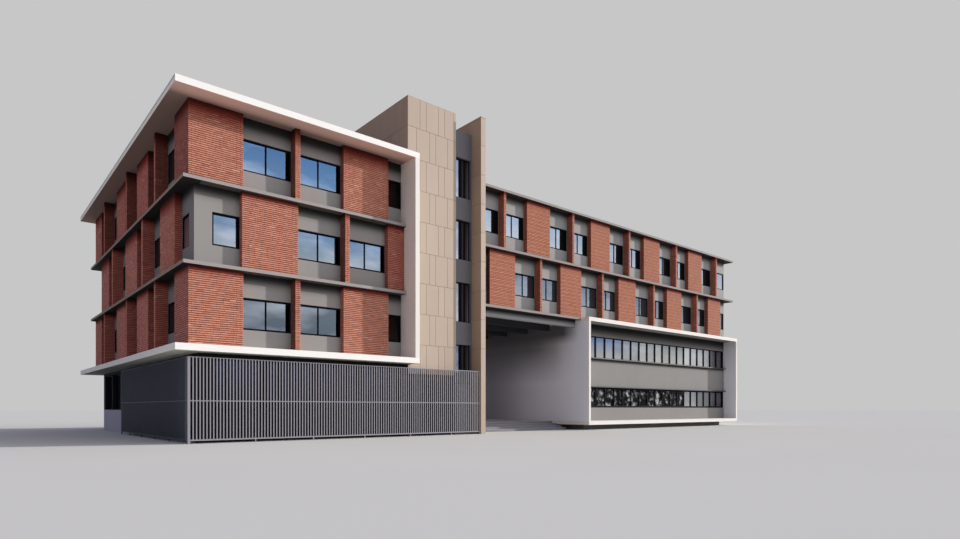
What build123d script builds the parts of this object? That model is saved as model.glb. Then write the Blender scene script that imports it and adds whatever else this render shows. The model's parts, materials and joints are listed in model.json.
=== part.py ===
"""School building, 1:2 scale model.

An L-shaped building: a four-storey block with brick panels under a white roof slab, a
stair tower with a tall fin wall, and a long wing whose two brick storeys ride over an
open porch and a white-framed two-storey box with ribbon windows.

All lengths below are metres on the real building.  S turns them into the model's
millimetres (1:2).  Origin: middle of the footprint, on the ground.  X runs along the
front towards the wing's far end, Y runs back from the front, Z is up.
"""
from build123d import *
import os

# ------------------------------------------------------------------ driving dimensions
S = 500.0                      # model millimetres per real metre (1:2)

LENGTH = 47.30                 # roof edge of the block to roof edge of the wing
DEPTH = 24.46                  # front roof edge to back roof edge of the block
OX, OY = LENGTH / 2, DEPTH / 2  # plan centre, taken off every X and Y

Z_GF = 0.56                    # ground floor, four risers above the ground
Z1, Z2, Z3, ZR = 4.13, 7.73, 11.33, 14.93   # tops of the slabs
T_WHITE = 0.285                # white slabs of the block
T_STR = 0.15                   # thin grey string slabs and the wing's roof
SILL, HEAD = 0.90, 2.36        # window opening above its floor
WALL = 0.20                    # grey walls
BRICK = 0.30                   # brick panels in front of them
PANE = 0.03                    # glass

# block
BX_SLAB, BX_BRICK, BX_WALL = 0.53, 0.80, 1.10      # left side planes
BY_SLAB, BY_BRICK, BY_WALL = 0.86, 1.08, 1.38      # front planes
BKY_WALL, BKY_BRICK, BKY_SLAB = 23.26, 23.56, 23.78  # back planes
CX_WALL, CX_BRICK, CX_SLAB, CX_ROOF = 11.35, 11.65, 11.92, 12.45  # court side planes

# tower, stair strip and fin
TX0, TX1, TY0, TY1, TZ = 11.75, 15.00, 0.86, 8.86, 18.27
T_TOWER = 0.25
CLAD_Z = 3.34                  # lower edge of the tower's cladding
FIN_X0, FIN_X1, FIN_Y0, FIN_Z = 16.37, 16.69, 0.23, 18.33
STRIP_Y, STRIP_Z = 1.08, 17.50

# wing
WX0, WX1 = 16.69, 46.58        # grey walls
WY_SLAB, WY_BRICK, WY_WALL = 0.99, 1.21, 1.51
WBY_WALL, WBY_BRICK, WBY_SLAB = 12.10, 12.40, 12.62
PITCH = 6.341                  # one panel and one fin
PANEL_W, FIN_W = 2.087, 0.16
SET = 0.03                     # brick fins stop this far behind the slab edges

# white box
QX0, QX1, QY0, QY1 = 26.09, 46.66, 0.29, 12.40
QT = 0.195
QZ0, QZ1, QZ2 = 0.35, 0.605, 7.46
QY_WALL = 1.45
RIB_LOW, RIB_HIGH = (1.54, 3.00), (5.10, 6.65)

os.makedirs("parts", exist_ok=True)


def rect(a0, a1, b0, b1, dx=0.0, dy=0.0, mode=Mode.ADD):
    """A rectangle between real coordinates a0..a1 and b0..b1 on the open sketch."""
    with Locations((((a0 + a1) / 2 - dx) * S, ((b0 + b1) / 2 - dy) * S)):
        Rectangle((a1 - a0) * S, (b1 - b0) * S, mode=mode)


def block(x0, x1, y0, y1, z0, z1, mode=Mode.ADD):
    """A box between real coordinates, in the open part."""
    with Locations((((x0 + x1) / 2 - OX) * S, ((y0 + y1) / 2 - OY) * S, (z0 + z1) / 2 * S)):
        Box((x1 - x0) * S, (y1 - y0) * S, (z1 - z0) * S, mode=mode)


def outline(points):
    """A closed plan outline given by real X, Y corners, on the open sketch."""
    Polygon(*[((x - OX) * S, (y - OY) * S) for x, y in points], align=None)


def plan(z):
    return Plane.XY.offset(z * S)


def front_plane(y):
    """Upright plane at real depth y; extruding +amount from it runs towards the front."""
    return Plane.XZ.offset(-(y - OY) * S)


def side_plane(x):
    """Upright plane at real X; extruding +amount from it runs towards +X."""
    return Plane.YZ.offset((x - OX) * S)


def finish(piece, name):
    piece.label = name
    export_step(piece, "parts/" + name + ".step")
    print(name, len(piece.solids()), "solids", round(piece.volume / 1e9, 4), "m3")


# ------------------------------------------------------------------ facade rhythm (real X or Y)
UPPER = [(Z1, Z2 - T_STR), (Z2, Z3 - T_STR), (Z3, ZR - T_WHITE)]   # block storeys
WING = [(Z2, Z3 - T_STR), (Z3, ZR - T_STR)]                        # wing storeys

B_FRONT_A = [(3.07, 5.455), (5.675, 8.06), (10.64, 11.65)]
B_FRONT_M = [(1.85, 3.05), (5.65, 8.05), (8.27, 10.64)]
B_FRONT = [B_FRONT_A, B_FRONT_M, B_FRONT_A]
B_SIDE_A = [(3.20, 5.65), (5.88, 8.20), (10.70, 12.05), (12.28, 13.65), (16.15, 18.70), (18.93, 21.25)]
B_SIDE_M = [(2.10, 3.20), (5.75, 8.25), (8.48, 10.70), (13.65, 16.05), (16.28, 18.65), (21.25, 22.30)]
B_SIDE = [B_SIDE_A, B_SIDE_M, B_SIDE_A]
B_BACK_A = [(3.07, 5.02), (5.24, 7.18), (7.40, 9.35)]
B_BACK_M = [(1.90, 3.07), (5.13, 7.29), (9.35, 10.50)]
B_BACK = [B_BACK_A, B_BACK_M, B_BACK_A]
B_COURT_A = [(12.90, 14.00), (16.15, 18.70), (18.93, 21.25)]
B_COURT_M = [(14.00, 16.05), (16.28, 18.65), (21.25, 22.30)]
B_COURT = [B_COURT_A, B_COURT_M, B_COURT_A]

LOW_PANELS = [(17.90 + PITCH * k, 17.90 + PANEL_W + PITCH * k) for k in range(5)]
LOW_FINS = [(22.074 + PITCH * k, 22.074 + FIN_W + PITCH * k) for k in range(4)]
TOP_PANELS = [(21.081 + PITCH * k, 21.081 + PANEL_W + PITCH * k) for k in range(4)]
TOP_FINS = [(18.893 + PITCH * k, 18.893 + FIN_W + PITCH * k) for k in range(5)]


def gaps(taken, start, end):
    """The stretches between the given ones, from start to end."""
    out, at = [], start
    for a, b in sorted(taken):
        out.append((at, a))
        at = b
    out.append((at, end))
    return [(a, b) for a, b in out if b - a > 0.5]


W_LOW = gaps(LOW_PANELS + LOW_FINS, WX0 + 0.05, WX1 - 0.05)
W_TOP = gaps(TOP_PANELS + TOP_FINS, WX0 + 0.05, WX1 - 0.05)
W_END_LOW = [(1.93, 3.75), (3.97, 5.84), (7.94, 9.83), (10.05, 11.85)]
W_END_TOP = [(1.93, 3.10), (5.20, 6.78), (7.00, 8.58), (10.68, 11.85)]
LOBBY = [(12.25, 14.10), (14.45, 16.30)]
GF_SIDE = [(1.60 + 2.575 * k, 3.975 + 2.575 * k) for k in range(8)]
GF_FRONT = [(1.75 + 2.45 * k, 4.00 + 2.45 * k) for k in range(4)]
GF_SILL, GF_HEAD = 1.38, 3.65

# ------------------------------------------------------------------ block: slabs
WHITE_PLAN = [(0, 0), (11.92, 0), (11.92, TY0), (TX0, TY0), (TX0, WBY_SLAB), (CX_ROOF, WBY_SLAB),
              (CX_ROOF, DEPTH), (0, DEPTH)]
STRING_PLAN = [(BX_SLAB, BY_SLAB), (11.65, BY_SLAB), (11.65, BY_WALL), (TX0, BY_WALL), (TX0, WBY_SLAB),
               (CX_SLAB, WBY_SLAB), (CX_SLAB, BKY_SLAB), (BX_SLAB, BKY_SLAB)]

with BuildPart() as left_roof_slab:
    with BuildSketch(plan(ZR - T_WHITE)):
        outline(WHITE_PLAN)
    extrude(amount=T_WHITE * S)
    with BuildSketch(plan(ZR - 0.08)):          # roof finish lies below the rim
        rect(0.35, 11.40, 0.35, DEPTH - 0.35, OX, OY)
    extrude(amount=0.08 * S, mode=Mode.SUBTRACT)
finish(left_roof_slab.part, "left_roof_slab")

with BuildPart() as left_first_floor_slab:
    with BuildSketch(plan(Z1 - T_WHITE)):
        outline(WHITE_PLAN)
    extrude(amount=T_WHITE * S)
finish(left_first_floor_slab.part, "left_first_floor_slab")

with BuildPart() as left_second_floor_slab:
    with BuildSketch(plan(Z2 - T_STR)):
        outline(STRING_PLAN)
    extrude(amount=T_STR * S)
finish(left_second_floor_slab.part, "left_second_floor_slab")

with BuildPart() as left_third_floor_slab:
    with BuildSketch(plan(Z3 - T_STR)):
        outline(STRING_PLAN)
    extrude(amount=T_STR * S)
finish(left_third_floor_slab.part, "left_third_floor_slab")

with BuildPart() as left_ground_slab:
    block(1.38, 10.85, 1.25, 22.35, 0.0, Z_GF)
finish(left_ground_slab.part, "left_ground_slab")

with BuildPart() as white_end_fin:
    with BuildSketch(plan(Z1)):
        outline([(11.65, 0), (11.92, 0), (11.92, TY0), (TX0, TY0), (TX0, BY_WALL), (11.65, BY_WALL)])
    extrude(amount=(ZR - T_WHITE - Z1) * S)
finish(white_end_fin.part, "white_end_fin")

# ------------------------------------------------------------------ block: grey walls
with BuildPart() as left_front_wall:
    for (z0, z1), holes in zip(UPPER, B_FRONT):
        with BuildSketch(front_plane(BY_WALL + WALL)):
            rect(BX_WALL, TX0, z0, z1, OX)
            for a, b in holes:
                rect(a, b, z0 + SILL, z0 + HEAD, OX, mode=Mode.SUBTRACT)
        extrude(amount=WALL * S)
finish(left_front_wall.part, "left_front_wall")

with BuildPart() as left_side_wall:
    for (z0, z1), holes in zip(UPPER, B_SIDE):
        with BuildSketch(side_plane(BX_WALL)):
            rect(BY_WALL + WALL, BKY_WALL - WALL, z0, z1, OY)
            for a, b in holes:
                rect(a, b, z0 + SILL, z0 + HEAD, OY, mode=Mode.SUBTRACT)
        extrude(amount=WALL * S)
finish(left_side_wall.part, "left_side_wall")

with BuildPart() as left_back_wall:
    for (z0, z1), holes in zip(UPPER, B_BACK):
        with BuildSketch(front_plane(BKY_WALL)):
            rect(BX_WALL, CX_WALL, z0, z1, OX)
            for a, b in holes:
                rect(a, b, z0 + SILL, z0 + HEAD, OX, mode=Mode.SUBTRACT)
        extrude(amount=WALL * S)
finish(left_back_wall.part, "left_back_wall")

with BuildPart() as left_court_wall:
    for (z0, z1), holes in zip(UPPER, B_COURT):
        with BuildSketch(side_plane(CX_WALL - WALL)):
            rect(WBY_WALL - WALL, BKY_WALL - WALL, z0, z1, OY)
            for a, b in holes:
                rect(a, b, z0 + SILL, z0 + HEAD, OY, mode=Mode.SUBTRACT)
        extrude(amount=WALL * S)
finish(left_court_wall.part, "left_court_wall")

# ------------------------------------------------------------------ block: brick panels and fins
with BuildPart() as left_front_brick_panels:                # front and back
    for i, (z0, z1) in enumerate(UPPER):
        if i != 1:
            block(BX_BRICK, 3.07, BY_BRICK, BY_WALL, z0, z1)
            block(8.06, 10.64, BY_BRICK, BY_WALL, z0, z1)
            block(BX_BRICK, 3.07, BKY_WALL, BKY_BRICK, z0, z1)
            block(9.35, CX_BRICK, BKY_WALL, BKY_BRICK, z0, z1)
        else:
            block(3.05, 5.65, BY_BRICK, BY_WALL, z0, z1)
            block(10.64, 11.65, BY_BRICK, BY_WALL, z0, z1)
            block(3.07, 5.13, BKY_WALL, BKY_BRICK, z0, z1)
            block(7.29, 9.35, BKY_WALL, BKY_BRICK, z0, z1)
finish(left_front_brick_panels.part, "left_front_brick_panels")

with BuildPart() as left_side_brick_panels:                 # left side and court side
    for i, (z0, z1) in enumerate(UPPER):
        if i != 1:
            block(BX_BRICK, BX_WALL, BY_WALL, 3.20, z0, z1)
            block(BX_BRICK, BX_WALL, 8.20, 10.70, z0, z1)
            block(BX_BRICK, BX_WALL, 13.65, 16.15, z0, z1)
            block(BX_BRICK, BX_WALL, 21.25, BKY_WALL, z0, z1)
            block(CX_WALL, CX_BRICK, 14.00, 16.15, z0, z1)
            block(CX_WALL, CX_BRICK, 21.25, BKY_WALL, z0, z1)
        else:
            block(BX_BRICK, BX_WALL, 3.20, 5.75, z0, z1)
            block(BX_BRICK, BX_WALL, 10.70, 13.65, z0, z1)
            block(BX_BRICK, BX_WALL, 18.65, 21.25, z0, z1)
            block(CX_WALL, CX_BRICK, 12.70, 14.00, z0, z1)
            block(CX_WALL, CX_BRICK, 18.65, 21.25, z0, z1)
finish(left_side_brick_panels.part, "left_side_brick_panels")

with BuildPart() as left_brick_fins:
    for i, (z0, z1) in enumerate(UPPER):
        if i != 1:
            block(5.455, 5.675, BY_SLAB + SET, BY_WALL, z0, z1)
            block(BX_SLAB + SET, BX_WALL, 5.65, 5.88, z0, z1)
            block(BX_SLAB + SET, BX_WALL, 12.05, 12.28, z0, z1)
            block(BX_SLAB + SET, BX_WALL, 18.70, 18.93, z0, z1)
            block(5.02, 5.24, BKY_WALL, BKY_SLAB - SET, z0, z1)
            block(7.18, 7.40, BKY_WALL, BKY_SLAB - SET, z0, z1)
            block(CX_WALL, CX_SLAB - SET, 18.70, 18.93, z0, z1)
        else:
            block(8.05, 8.27, BY_SLAB + SET, BY_WALL, z0, z1)
            block(BX_SLAB + SET, BX_WALL, 8.25, 8.48, z0, z1)
            block(BX_SLAB + SET, BX_WALL, 16.05, 16.28, z0, z1)
            block(CX_WALL, CX_SLAB - SET, 16.05, 16.28, z0, z1)
finish(left_brick_fins.part, "left_brick_fins")

with BuildPart() as left_glass:
    for z0, z1 in UPPER:
        a, b = z0 + SILL - 0.10, z0 + HEAD + 0.10
        block(1.50, TX0 - 0.05, BY_WALL + WALL, BY_WALL + WALL + PANE, a, b)
        block(BX_WALL + WALL, BX_WALL + WALL + PANE, 1.80, 22.80, a, b)
        block(1.50, 11.00, BKY_WALL - WALL - PANE, BKY_WALL - WALL, a, b)
        block(CX_WALL - WALL - PANE, CX_WALL - WALL, 12.20, 22.80, a, b)
finish(left_glass.part, "left_glass")

# ------------------------------------------------------------------ block: ground floor
with BuildPart() as ground_front_wall:
    with BuildSketch(front_plane(1.25)):
        rect(1.13, TX0, 0.0, Z1 - T_WHITE, OX)
        rect(TX0, TX1, 0.0, CLAD_Z, OX)
        for a, b in GF_FRONT:
            rect(a, b, GF_SILL, GF_HEAD, OX, mode=Mode.SUBTRACT)
    extrude(amount=0.25 * S)
finish(ground_front_wall.part, "ground_front_wall")

with BuildPart() as ground_side_wall:
    with BuildSketch(side_plane(1.13)):
        rect(1.25, 22.60, 0.0, Z1 - T_WHITE, OY)
        for a, b in GF_SIDE:
            rect(a, b, GF_SILL, GF_HEAD, OY, mode=Mode.SUBTRACT)
    extrude(amount=0.25 * S)
finish(ground_side_wall.part, "ground_side_wall")

with BuildPart() as ground_back_wall:
    with BuildSketch(front_plane(22.60)):
        rect(1.38, 11.10, 0.0, Z1 - T_WHITE, OX)
        for a, b in GF_FRONT[:3]:
            rect(a + 0.4, b + 0.4, GF_SILL, GF_HEAD, OX, mode=Mode.SUBTRACT)
    extrude(amount=0.25 * S)
finish(ground_back_wall.part, "ground_back_wall")

with BuildPart() as ground_court_wall:
    with BuildSketch(side_plane(10.85)):
        rect(11.90, 22.35, 0.0, Z1 - T_WHITE, OY)
        for a, b in GF_SIDE[4:]:
            rect(a, b, GF_SILL, GF_HEAD, OY, mode=Mode.SUBTRACT)
    extrude(amount=0.25 * S)
finish(ground_court_wall.part, "ground_court_wall")

with BuildPart() as ground_glass:
    a, b = GF_SILL - 0.10, GF_HEAD + 0.10
    block(1.60, 11.60, 1.25, 1.25 + PANE, a, b)
    block(1.38, 1.38 + PANE, 1.45, 22.25, a, b)
    block(1.60, 10.60, 22.35 - PANE, 22.35, a, b)
    block(10.85 - PANE, 10.85, 12.05, 22.25, a, b)
finish(ground_glass.part, "ground_glass")

# ------------------------------------------------------------------ slat screens of the ground floor
SLAT, SLAT_GAP, POST = 0.048, 0.0885, 0.10
SCR_Y, SCR_X, SCR_T = 0.28, 0.55, 0.05
SCR_TOP, SCR_LOW = 3.62, 0.12
RAILS = [(0.12, 0.18), (1.765, 1.805), (3.585, 3.62)]


def screen(start, end, off):
    """Slats at one pitch between two end posts, crossed by three rails."""
    count = int(round((end - start - 2 * POST - SLAT_GAP) / (SLAT + SLAT_GAP)))
    pitch = (end - start - 2 * POST - SLAT_GAP) / count
    rect(start, start + POST, 0.0, SCR_TOP, off)
    rect(end - POST, end, 0.0, SCR_TOP, off)
    for k in range(count):
        a = start + POST + SLAT_GAP + pitch * k
        rect(a, a + SLAT, 0.0 if k % 20 == 19 else SCR_LOW, SCR_TOP, off)
    for a, b in RAILS:
        rect(start, end, a, b, off)


with BuildPart() as front_slat_screen:
    with BuildSketch(front_plane(SCR_Y + SCR_T)):
        screen(SCR_X, FIN_X0, OX)
    extrude(amount=SCR_T * S)
finish(front_slat_screen.part, "front_slat_screen")

with BuildPart() as side_slat_screen:
    with BuildSketch(side_plane(SCR_X)):
        screen(SCR_Y + SCR_T, 13.60, OY)
    extrude(amount=SCR_T * S)
finish(side_slat_screen.part, "side_slat_screen")

# ------------------------------------------------------------------ tower
with BuildPart() as tower_front_wall:
    block(TX0, TX1, TY0, TY0 + T_TOWER, CLAD_Z, TZ)
finish(tower_front_wall.part, "tower_front_wall")

with BuildPart() as tower_left_wall:
    with BuildSketch(side_plane(TX0)):
        rect(1.25, TY1 - T_TOWER, 0.0, TZ, OY)
        rect(TY0 + T_TOWER, 1.30, CLAD_Z, TZ, OY)
    extrude(amount=T_TOWER * S)
finish(tower_left_wall.part, "tower_left_wall")

with BuildPart() as tower_right_wall:
    with BuildSketch(side_plane(TX1 - T_TOWER)):
        rect(1.25, TY1 - T_TOWER, 0.0, TZ, OY)
        rect(TY0 + T_TOWER, 1.30, CLAD_Z, TZ, OY)
    extrude(amount=T_TOWER * S)
finish(tower_right_wall.part, "tower_right_wall")

with BuildPart() as tower_back_wall:
    block(TX0, TX1, TY1 - T_TOWER, TY1, 0.0, TZ)
finish(tower_back_wall.part, "tower_back_wall")

with BuildPart() as tower_roof:
    block(TX0 + T_TOWER, TX1 - T_TOWER, TY0 + T_TOWER, TY1 - T_TOWER, TZ - 0.35, TZ - 0.15)
finish(tower_roof.part, "tower_roof")

# ------------------------------------------------------------------ stair strip and tall fin wall
STAIR_HEADS = [5.16, 8.78, 12.39, 15.98]
with BuildPart() as stair_window_wall:
    with BuildSketch(front_plane(STRIP_Y + WALL)):
        rect(TX1, FIN_X0, 0.0, STRIP_Z, OX)
        for h in STAIR_HEADS:
            rect(TX1 + 0.06, FIN_X0 - 0.06, h - 2.30, h, OX, mode=Mode.SUBTRACT)
    extrude(amount=WALL * S)
finish(stair_window_wall.part, "stair_window_wall")

with BuildPart() as stair_glass:
    block(TX1 + 0.02, FIN_X0 - 0.02, STRIP_Y + WALL, STRIP_Y + WALL + PANE, 2.79, 16.12)
finish(stair_glass.part, "stair_glass")

with BuildPart() as tall_fin_wall:
    block(FIN_X0, FIN_X1, FIN_Y0, TY1, 0.0, FIN_Z)
finish(tall_fin_wall.part, "tall_fin_wall")

with BuildPart() as stair_core_roof:
    block(TX1, FIN_X0, STRIP_Y + WALL, TY1 - WALL, STRIP_Z - 0.30, STRIP_Z - 0.10)
finish(stair_core_roof.part, "stair_core_roof")

with BuildPart() as stair_core_back_wall:
    block(TX1, FIN_X0, TY1 - WALL, TY1, ZR - T_STR, STRIP_Z)
finish(stair_core_back_wall.part, "stair_core_back_wall")

# ------------------------------------------------------------------ lobby between block and wing
with BuildPart() as lobby_slabs:
    block(TX0, WX0 - 0.25, TY1, WBY_WALL - WALL, 0.0, Z_GF)
    block(TX0, WX0 - 0.25, TY1, WBY_SLAB, Z1 - T_STR, Z1)
finish(lobby_slabs.part, "lobby_slabs")

with BuildPart() as lobby_back_wall:
    for z0, z1, z1w, x0 in [(0.0, Z1 - T_STR, Z1 - T_WHITE, 11.10), (Z1, Z2 - T_STR, Z2 - T_STR, CX_WALL),
                            (Z2, Z3 - T_STR, Z3 - T_STR, CX_WALL), (Z3, ZR - T_STR, ZR - T_WHITE, CX_WALL)]:
        base = Z_GF if z0 == 0.0 else z0
        with BuildSketch(front_plane(WBY_WALL)):
            rect(x0, TX0, z0, z1w, OX)                      # under the block's slabs
            rect(TX0, WX0, z0, z1, OX)
            for a, b in LOBBY:
                rect(a, b, base + SILL, base + HEAD, OX, mode=Mode.SUBTRACT)
        extrude(amount=WALL * S)
finish(lobby_back_wall.part, "lobby_back_wall")

with BuildPart() as porch_left_wall:
    block(WX0 - 0.25, WX0, TY1, WBY_WALL - WALL, 0.0, Z2 - T_STR)
finish(porch_left_wall.part, "porch_left_wall")

# ------------------------------------------------------------------ wing
WING_PLAN = [(WX0, WY_SLAB), (LENGTH, WY_SLAB), (LENGTH, WBY_SLAB), (TX0, WBY_SLAB), (TX0, TY1), (WX0, TY1)]

with BuildPart() as wing_roof_slab:
    with BuildSketch(plan(ZR - T_STR)):
        outline(WING_PLAN)
    extrude(amount=T_STR * S)
finish(wing_roof_slab.part, "wing_roof_slab")

with BuildPart() as wing_third_floor_slab:
    with BuildSketch(plan(Z3 - T_STR)):
        outline(WING_PLAN)
    extrude(amount=T_STR * S)
finish(wing_third_floor_slab.part, "wing_third_floor_slab")

with BuildPart() as wing_second_floor_slab:
    with BuildSketch(plan(Z2 - T_STR)):
        outline(WING_PLAN)
    extrude(amount=T_STR * S)
finish(wing_second_floor_slab.part, "wing_second_floor_slab")

with BuildPart() as wing_front_wall:
    for (z0, z1), holes in zip(WING, [W_LOW, W_TOP]):
        with BuildSketch(front_plane(WY_WALL + WALL)):
            rect(WX0, WX1, z0, z1, OX)
            for a, b in holes:
                rect(a, b, z0 + SILL, z0 + HEAD, OX, mode=Mode.SUBTRACT)
        extrude(amount=WALL * S)
finish(wing_front_wall.part, "wing_front_wall")

with BuildPart() as wing_back_wall:
    for (z0, z1), holes in zip(WING, [W_LOW, W_TOP]):
        with BuildSketch(front_plane(WBY_WALL)):
            rect(WX0, WX1, z0, z1, OX)
            for a, b in holes:
                rect(a, b, z0 + SILL, z0 + HEAD, OX, mode=Mode.SUBTRACT)
        extrude(amount=WALL * S)
finish(wing_back_wall.part, "wing_back_wall")

with BuildPart() as wing_end_wall:
    for (z0, z1), holes in zip(WING, [W_END_LOW, W_END_TOP]):
        with BuildSketch(side_plane(WX1 - WALL)):
            rect(WY_WALL + WALL, WBY_WALL - WALL, z0, z1, OY)
            for a, b in holes:
                rect(a, b, z0 + SILL, z0 + HEAD, OY, mode=Mode.SUBTRACT)
        extrude(amount=WALL * S)
finish(wing_end_wall.part, "wing_end_wall")

with BuildPart() as wing_brick_panels:
    for (z0, z1), spans in zip(WING, [LOW_PANELS, TOP_PANELS]):
        for a, b in spans:
            block(a, b, WY_BRICK, WY_WALL, z0, z1)
            block(a, b, WBY_WALL, WBY_BRICK, z0, z1)
    block(WX1, WX1 + BRICK, 5.84, 7.94, Z2, Z3 - T_STR)
    block(WX1, WX1 + BRICK, 3.10, 5.20, Z3, ZR - T_STR)
    block(WX1, WX1 + BRICK, 8.58, 10.68, Z3, ZR - T_STR)
finish(wing_brick_panels.part, "wing_brick_panels")

with BuildPart() as wing_brick_fins:
    for (z0, z1), spans in zip(WING, [LOW_FINS, TOP_FINS]):
        for a, b in spans:
            block(a, b, WY_SLAB + SET, WY_WALL, z0, z1)
            block(a, b, WBY_WALL, WBY_SLAB - SET, z0, z1)
    block(WX1, LENGTH - SET, 3.75, 3.97, Z2, Z3 - T_STR)
    block(WX1, LENGTH - SET, 9.83, 10.05, Z2, Z3 - T_STR)
    block(WX1, LENGTH - SET, 6.78, 7.00, Z3, ZR - T_STR)
finish(wing_brick_fins.part, "wing_brick_fins")

with BuildPart() as wing_glass:
    for z0, z1 in WING:
        a, b = z0 + SILL - 0.10, z0 + HEAD + 0.10
        block(WX0 + 0.02, WX1 - WALL - 0.05, WY_WALL + WALL, WY_WALL + WALL + PANE, a, b)
        block(12.15, WX1 - WALL - 0.05, WBY_WALL - WALL - PANE, WBY_WALL - WALL, a, b)
        block(WX1 - WALL - PANE, WX1 - WALL, WY_WALL + WALL + 0.04, WBY_WALL - WALL - 0.04, a, b)
    for base in (Z_GF, Z1):
        block(12.15, WX0 - 0.29, WBY_WALL - WALL - PANE, WBY_WALL - WALL, base + SILL - 0.10, base + HEAD + 0.10)
finish(wing_glass.part, "wing_glass")

# ------------------------------------------------------------------ white box under the wing
with BuildPart() as box_top_plate:
    with BuildSketch(side_plane(QX0)):
        rect(QY0, WY_SLAB, QZ2, Z2, OY)
        rect(WY_SLAB, QY1, QZ2, Z2 - T_STR, OY)
    extrude(amount=(QX1 - QX0) * S)
finish(box_top_plate.part, "box_top_plate")

with BuildPart() as box_base_slab:
    block(QX0, QX1, QY0, QY1, QZ0, QZ1)
finish(box_base_slab.part, "box_base_slab")

with BuildPart() as box_left_wall:
    block(QX0, QX0 + QT, QY0, QY1, QZ1, QZ2)
finish(box_left_wall.part, "box_left_wall")

with BuildPart() as box_right_wall:
    block(QX1 - QT, QX1, QY0, QY1, QZ1, QZ2)
finish(box_right_wall.part, "box_right_wall")

with BuildPart() as box_front_bands:
    block(QX0 + QT, QX1 - QT, QY_WALL, QY_WALL + WALL, QZ1, RIB_LOW[0])
    block(QX0 + QT, QX1 - QT, QY_WALL, QY_WALL + WALL, RIB_LOW[1], RIB_HIGH[0])
    block(QX0 + QT, QX1 - QT, QY_WALL, QY_WALL + WALL, RIB_HIGH[1], QZ2)
finish(box_front_bands.part, "box_front_bands")

with BuildPart() as box_back_bands:
    block(QX0 + QT, QX1 - QT, 11.90, 12.10, QZ1, RIB_LOW[0])
    block(QX0 + QT, QX1 - QT, 11.90, 12.10, RIB_LOW[1], RIB_HIGH[0])
    block(QX0 + QT, QX1 - QT, 11.90, 12.10, RIB_HIGH[1], QZ2)
finish(box_back_bands.part, "box_back_bands")

with BuildPart() as box_window_ledges:
    block(QX0 + QT, QX1 - QT, 1.24, QY_WALL, RIB_LOW[1], RIB_LOW[1] + 0.07)
    block(QX0 + QT, QX1 - QT, 1.24, QY_WALL, RIB_HIGH[0] - 0.07, RIB_HIGH[0])
finish(box_window_ledges.part, "box_window_ledges")

with BuildPart() as box_middle_floor:
    block(QX0 + QT, QX1 - QT, QY_WALL + WALL, 11.90, Z1 - 0.20, Z1)
finish(box_middle_floor.part, "box_middle_floor")

with BuildPart() as box_ribbon_glass:
    for a, b in (RIB_LOW, RIB_HIGH):
        block(QX0 + QT, QX1 - QT, QY_WALL + 0.12, QY_WALL + 0.12 + PANE, a, b)
        block(QX0 + QT, QX1 - QT, 11.95, 11.95 + PANE, a, b)
finish(box_ribbon_glass.part, "box_ribbon_glass")

with BuildPart() as box_plinth:
    block(QX0 + 0.90, QX1 - 0.90, 1.50, 11.50, 0.0, QZ0)
finish(box_plinth.part, "box_plinth")

# ------------------------------------------------------------------ porch
with BuildPart() as porch_landing:
    block(WX0, QX0, 3.70, WBY_BRICK, 0.0, Z_GF)
finish(porch_landing.part, "porch_landing")

with BuildPart() as porch_steps:
    with BuildSketch(side_plane(WX0)):
        rect(2.35, 3.70, 0.0, 0.14, OY)
        rect(2.80, 3.70, 0.0, 0.28, OY)
        rect(3.25, 3.70, 0.0, 0.42, OY)
    extrude(amount=(QX0 - WX0) * S)
finish(porch_steps.part, "porch_steps")

with BuildPart() as porch_beams:
    for y in (WY_WALL, 3.94, 6.20, 8.46, 10.72):
        block(WX0, QX0, y, y + 0.25, 7.10, Z2 - T_STR)
finish(porch_beams.part, "porch_beams")
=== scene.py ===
"""Looks of the school building, 1:2 scale model.

Lengths in the helpers are metres on the real building, in the same plan as the CAD
(X from the block's left roof edge, Y from its front roof edge, Z from the ground).
K and the offsets turn them into the model's frame.
"""
import bpy
import json
import math
import numpy as np
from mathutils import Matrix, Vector


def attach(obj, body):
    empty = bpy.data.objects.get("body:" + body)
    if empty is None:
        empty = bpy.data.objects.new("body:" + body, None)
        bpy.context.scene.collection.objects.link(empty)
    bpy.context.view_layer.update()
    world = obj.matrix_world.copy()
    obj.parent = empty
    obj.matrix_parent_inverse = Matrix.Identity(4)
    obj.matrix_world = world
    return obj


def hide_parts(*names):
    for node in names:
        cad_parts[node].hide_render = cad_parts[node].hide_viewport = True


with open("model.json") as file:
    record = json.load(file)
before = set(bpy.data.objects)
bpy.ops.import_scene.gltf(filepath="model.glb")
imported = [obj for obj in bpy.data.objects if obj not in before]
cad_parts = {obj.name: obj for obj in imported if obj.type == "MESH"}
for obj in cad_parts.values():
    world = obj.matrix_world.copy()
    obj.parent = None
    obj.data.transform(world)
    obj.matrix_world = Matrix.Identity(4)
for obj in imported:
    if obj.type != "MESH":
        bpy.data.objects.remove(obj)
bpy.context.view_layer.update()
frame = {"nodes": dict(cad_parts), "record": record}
nodes = frame["nodes"]
rng = np.random.default_rng(20)

K, OX, OY = 0.5, 23.65, 12.23
SUN, GLOW, DIMMER, BACKDROP = 3.7, 1.25, 0.253, (0.57, 0.57, 0.575)

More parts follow.
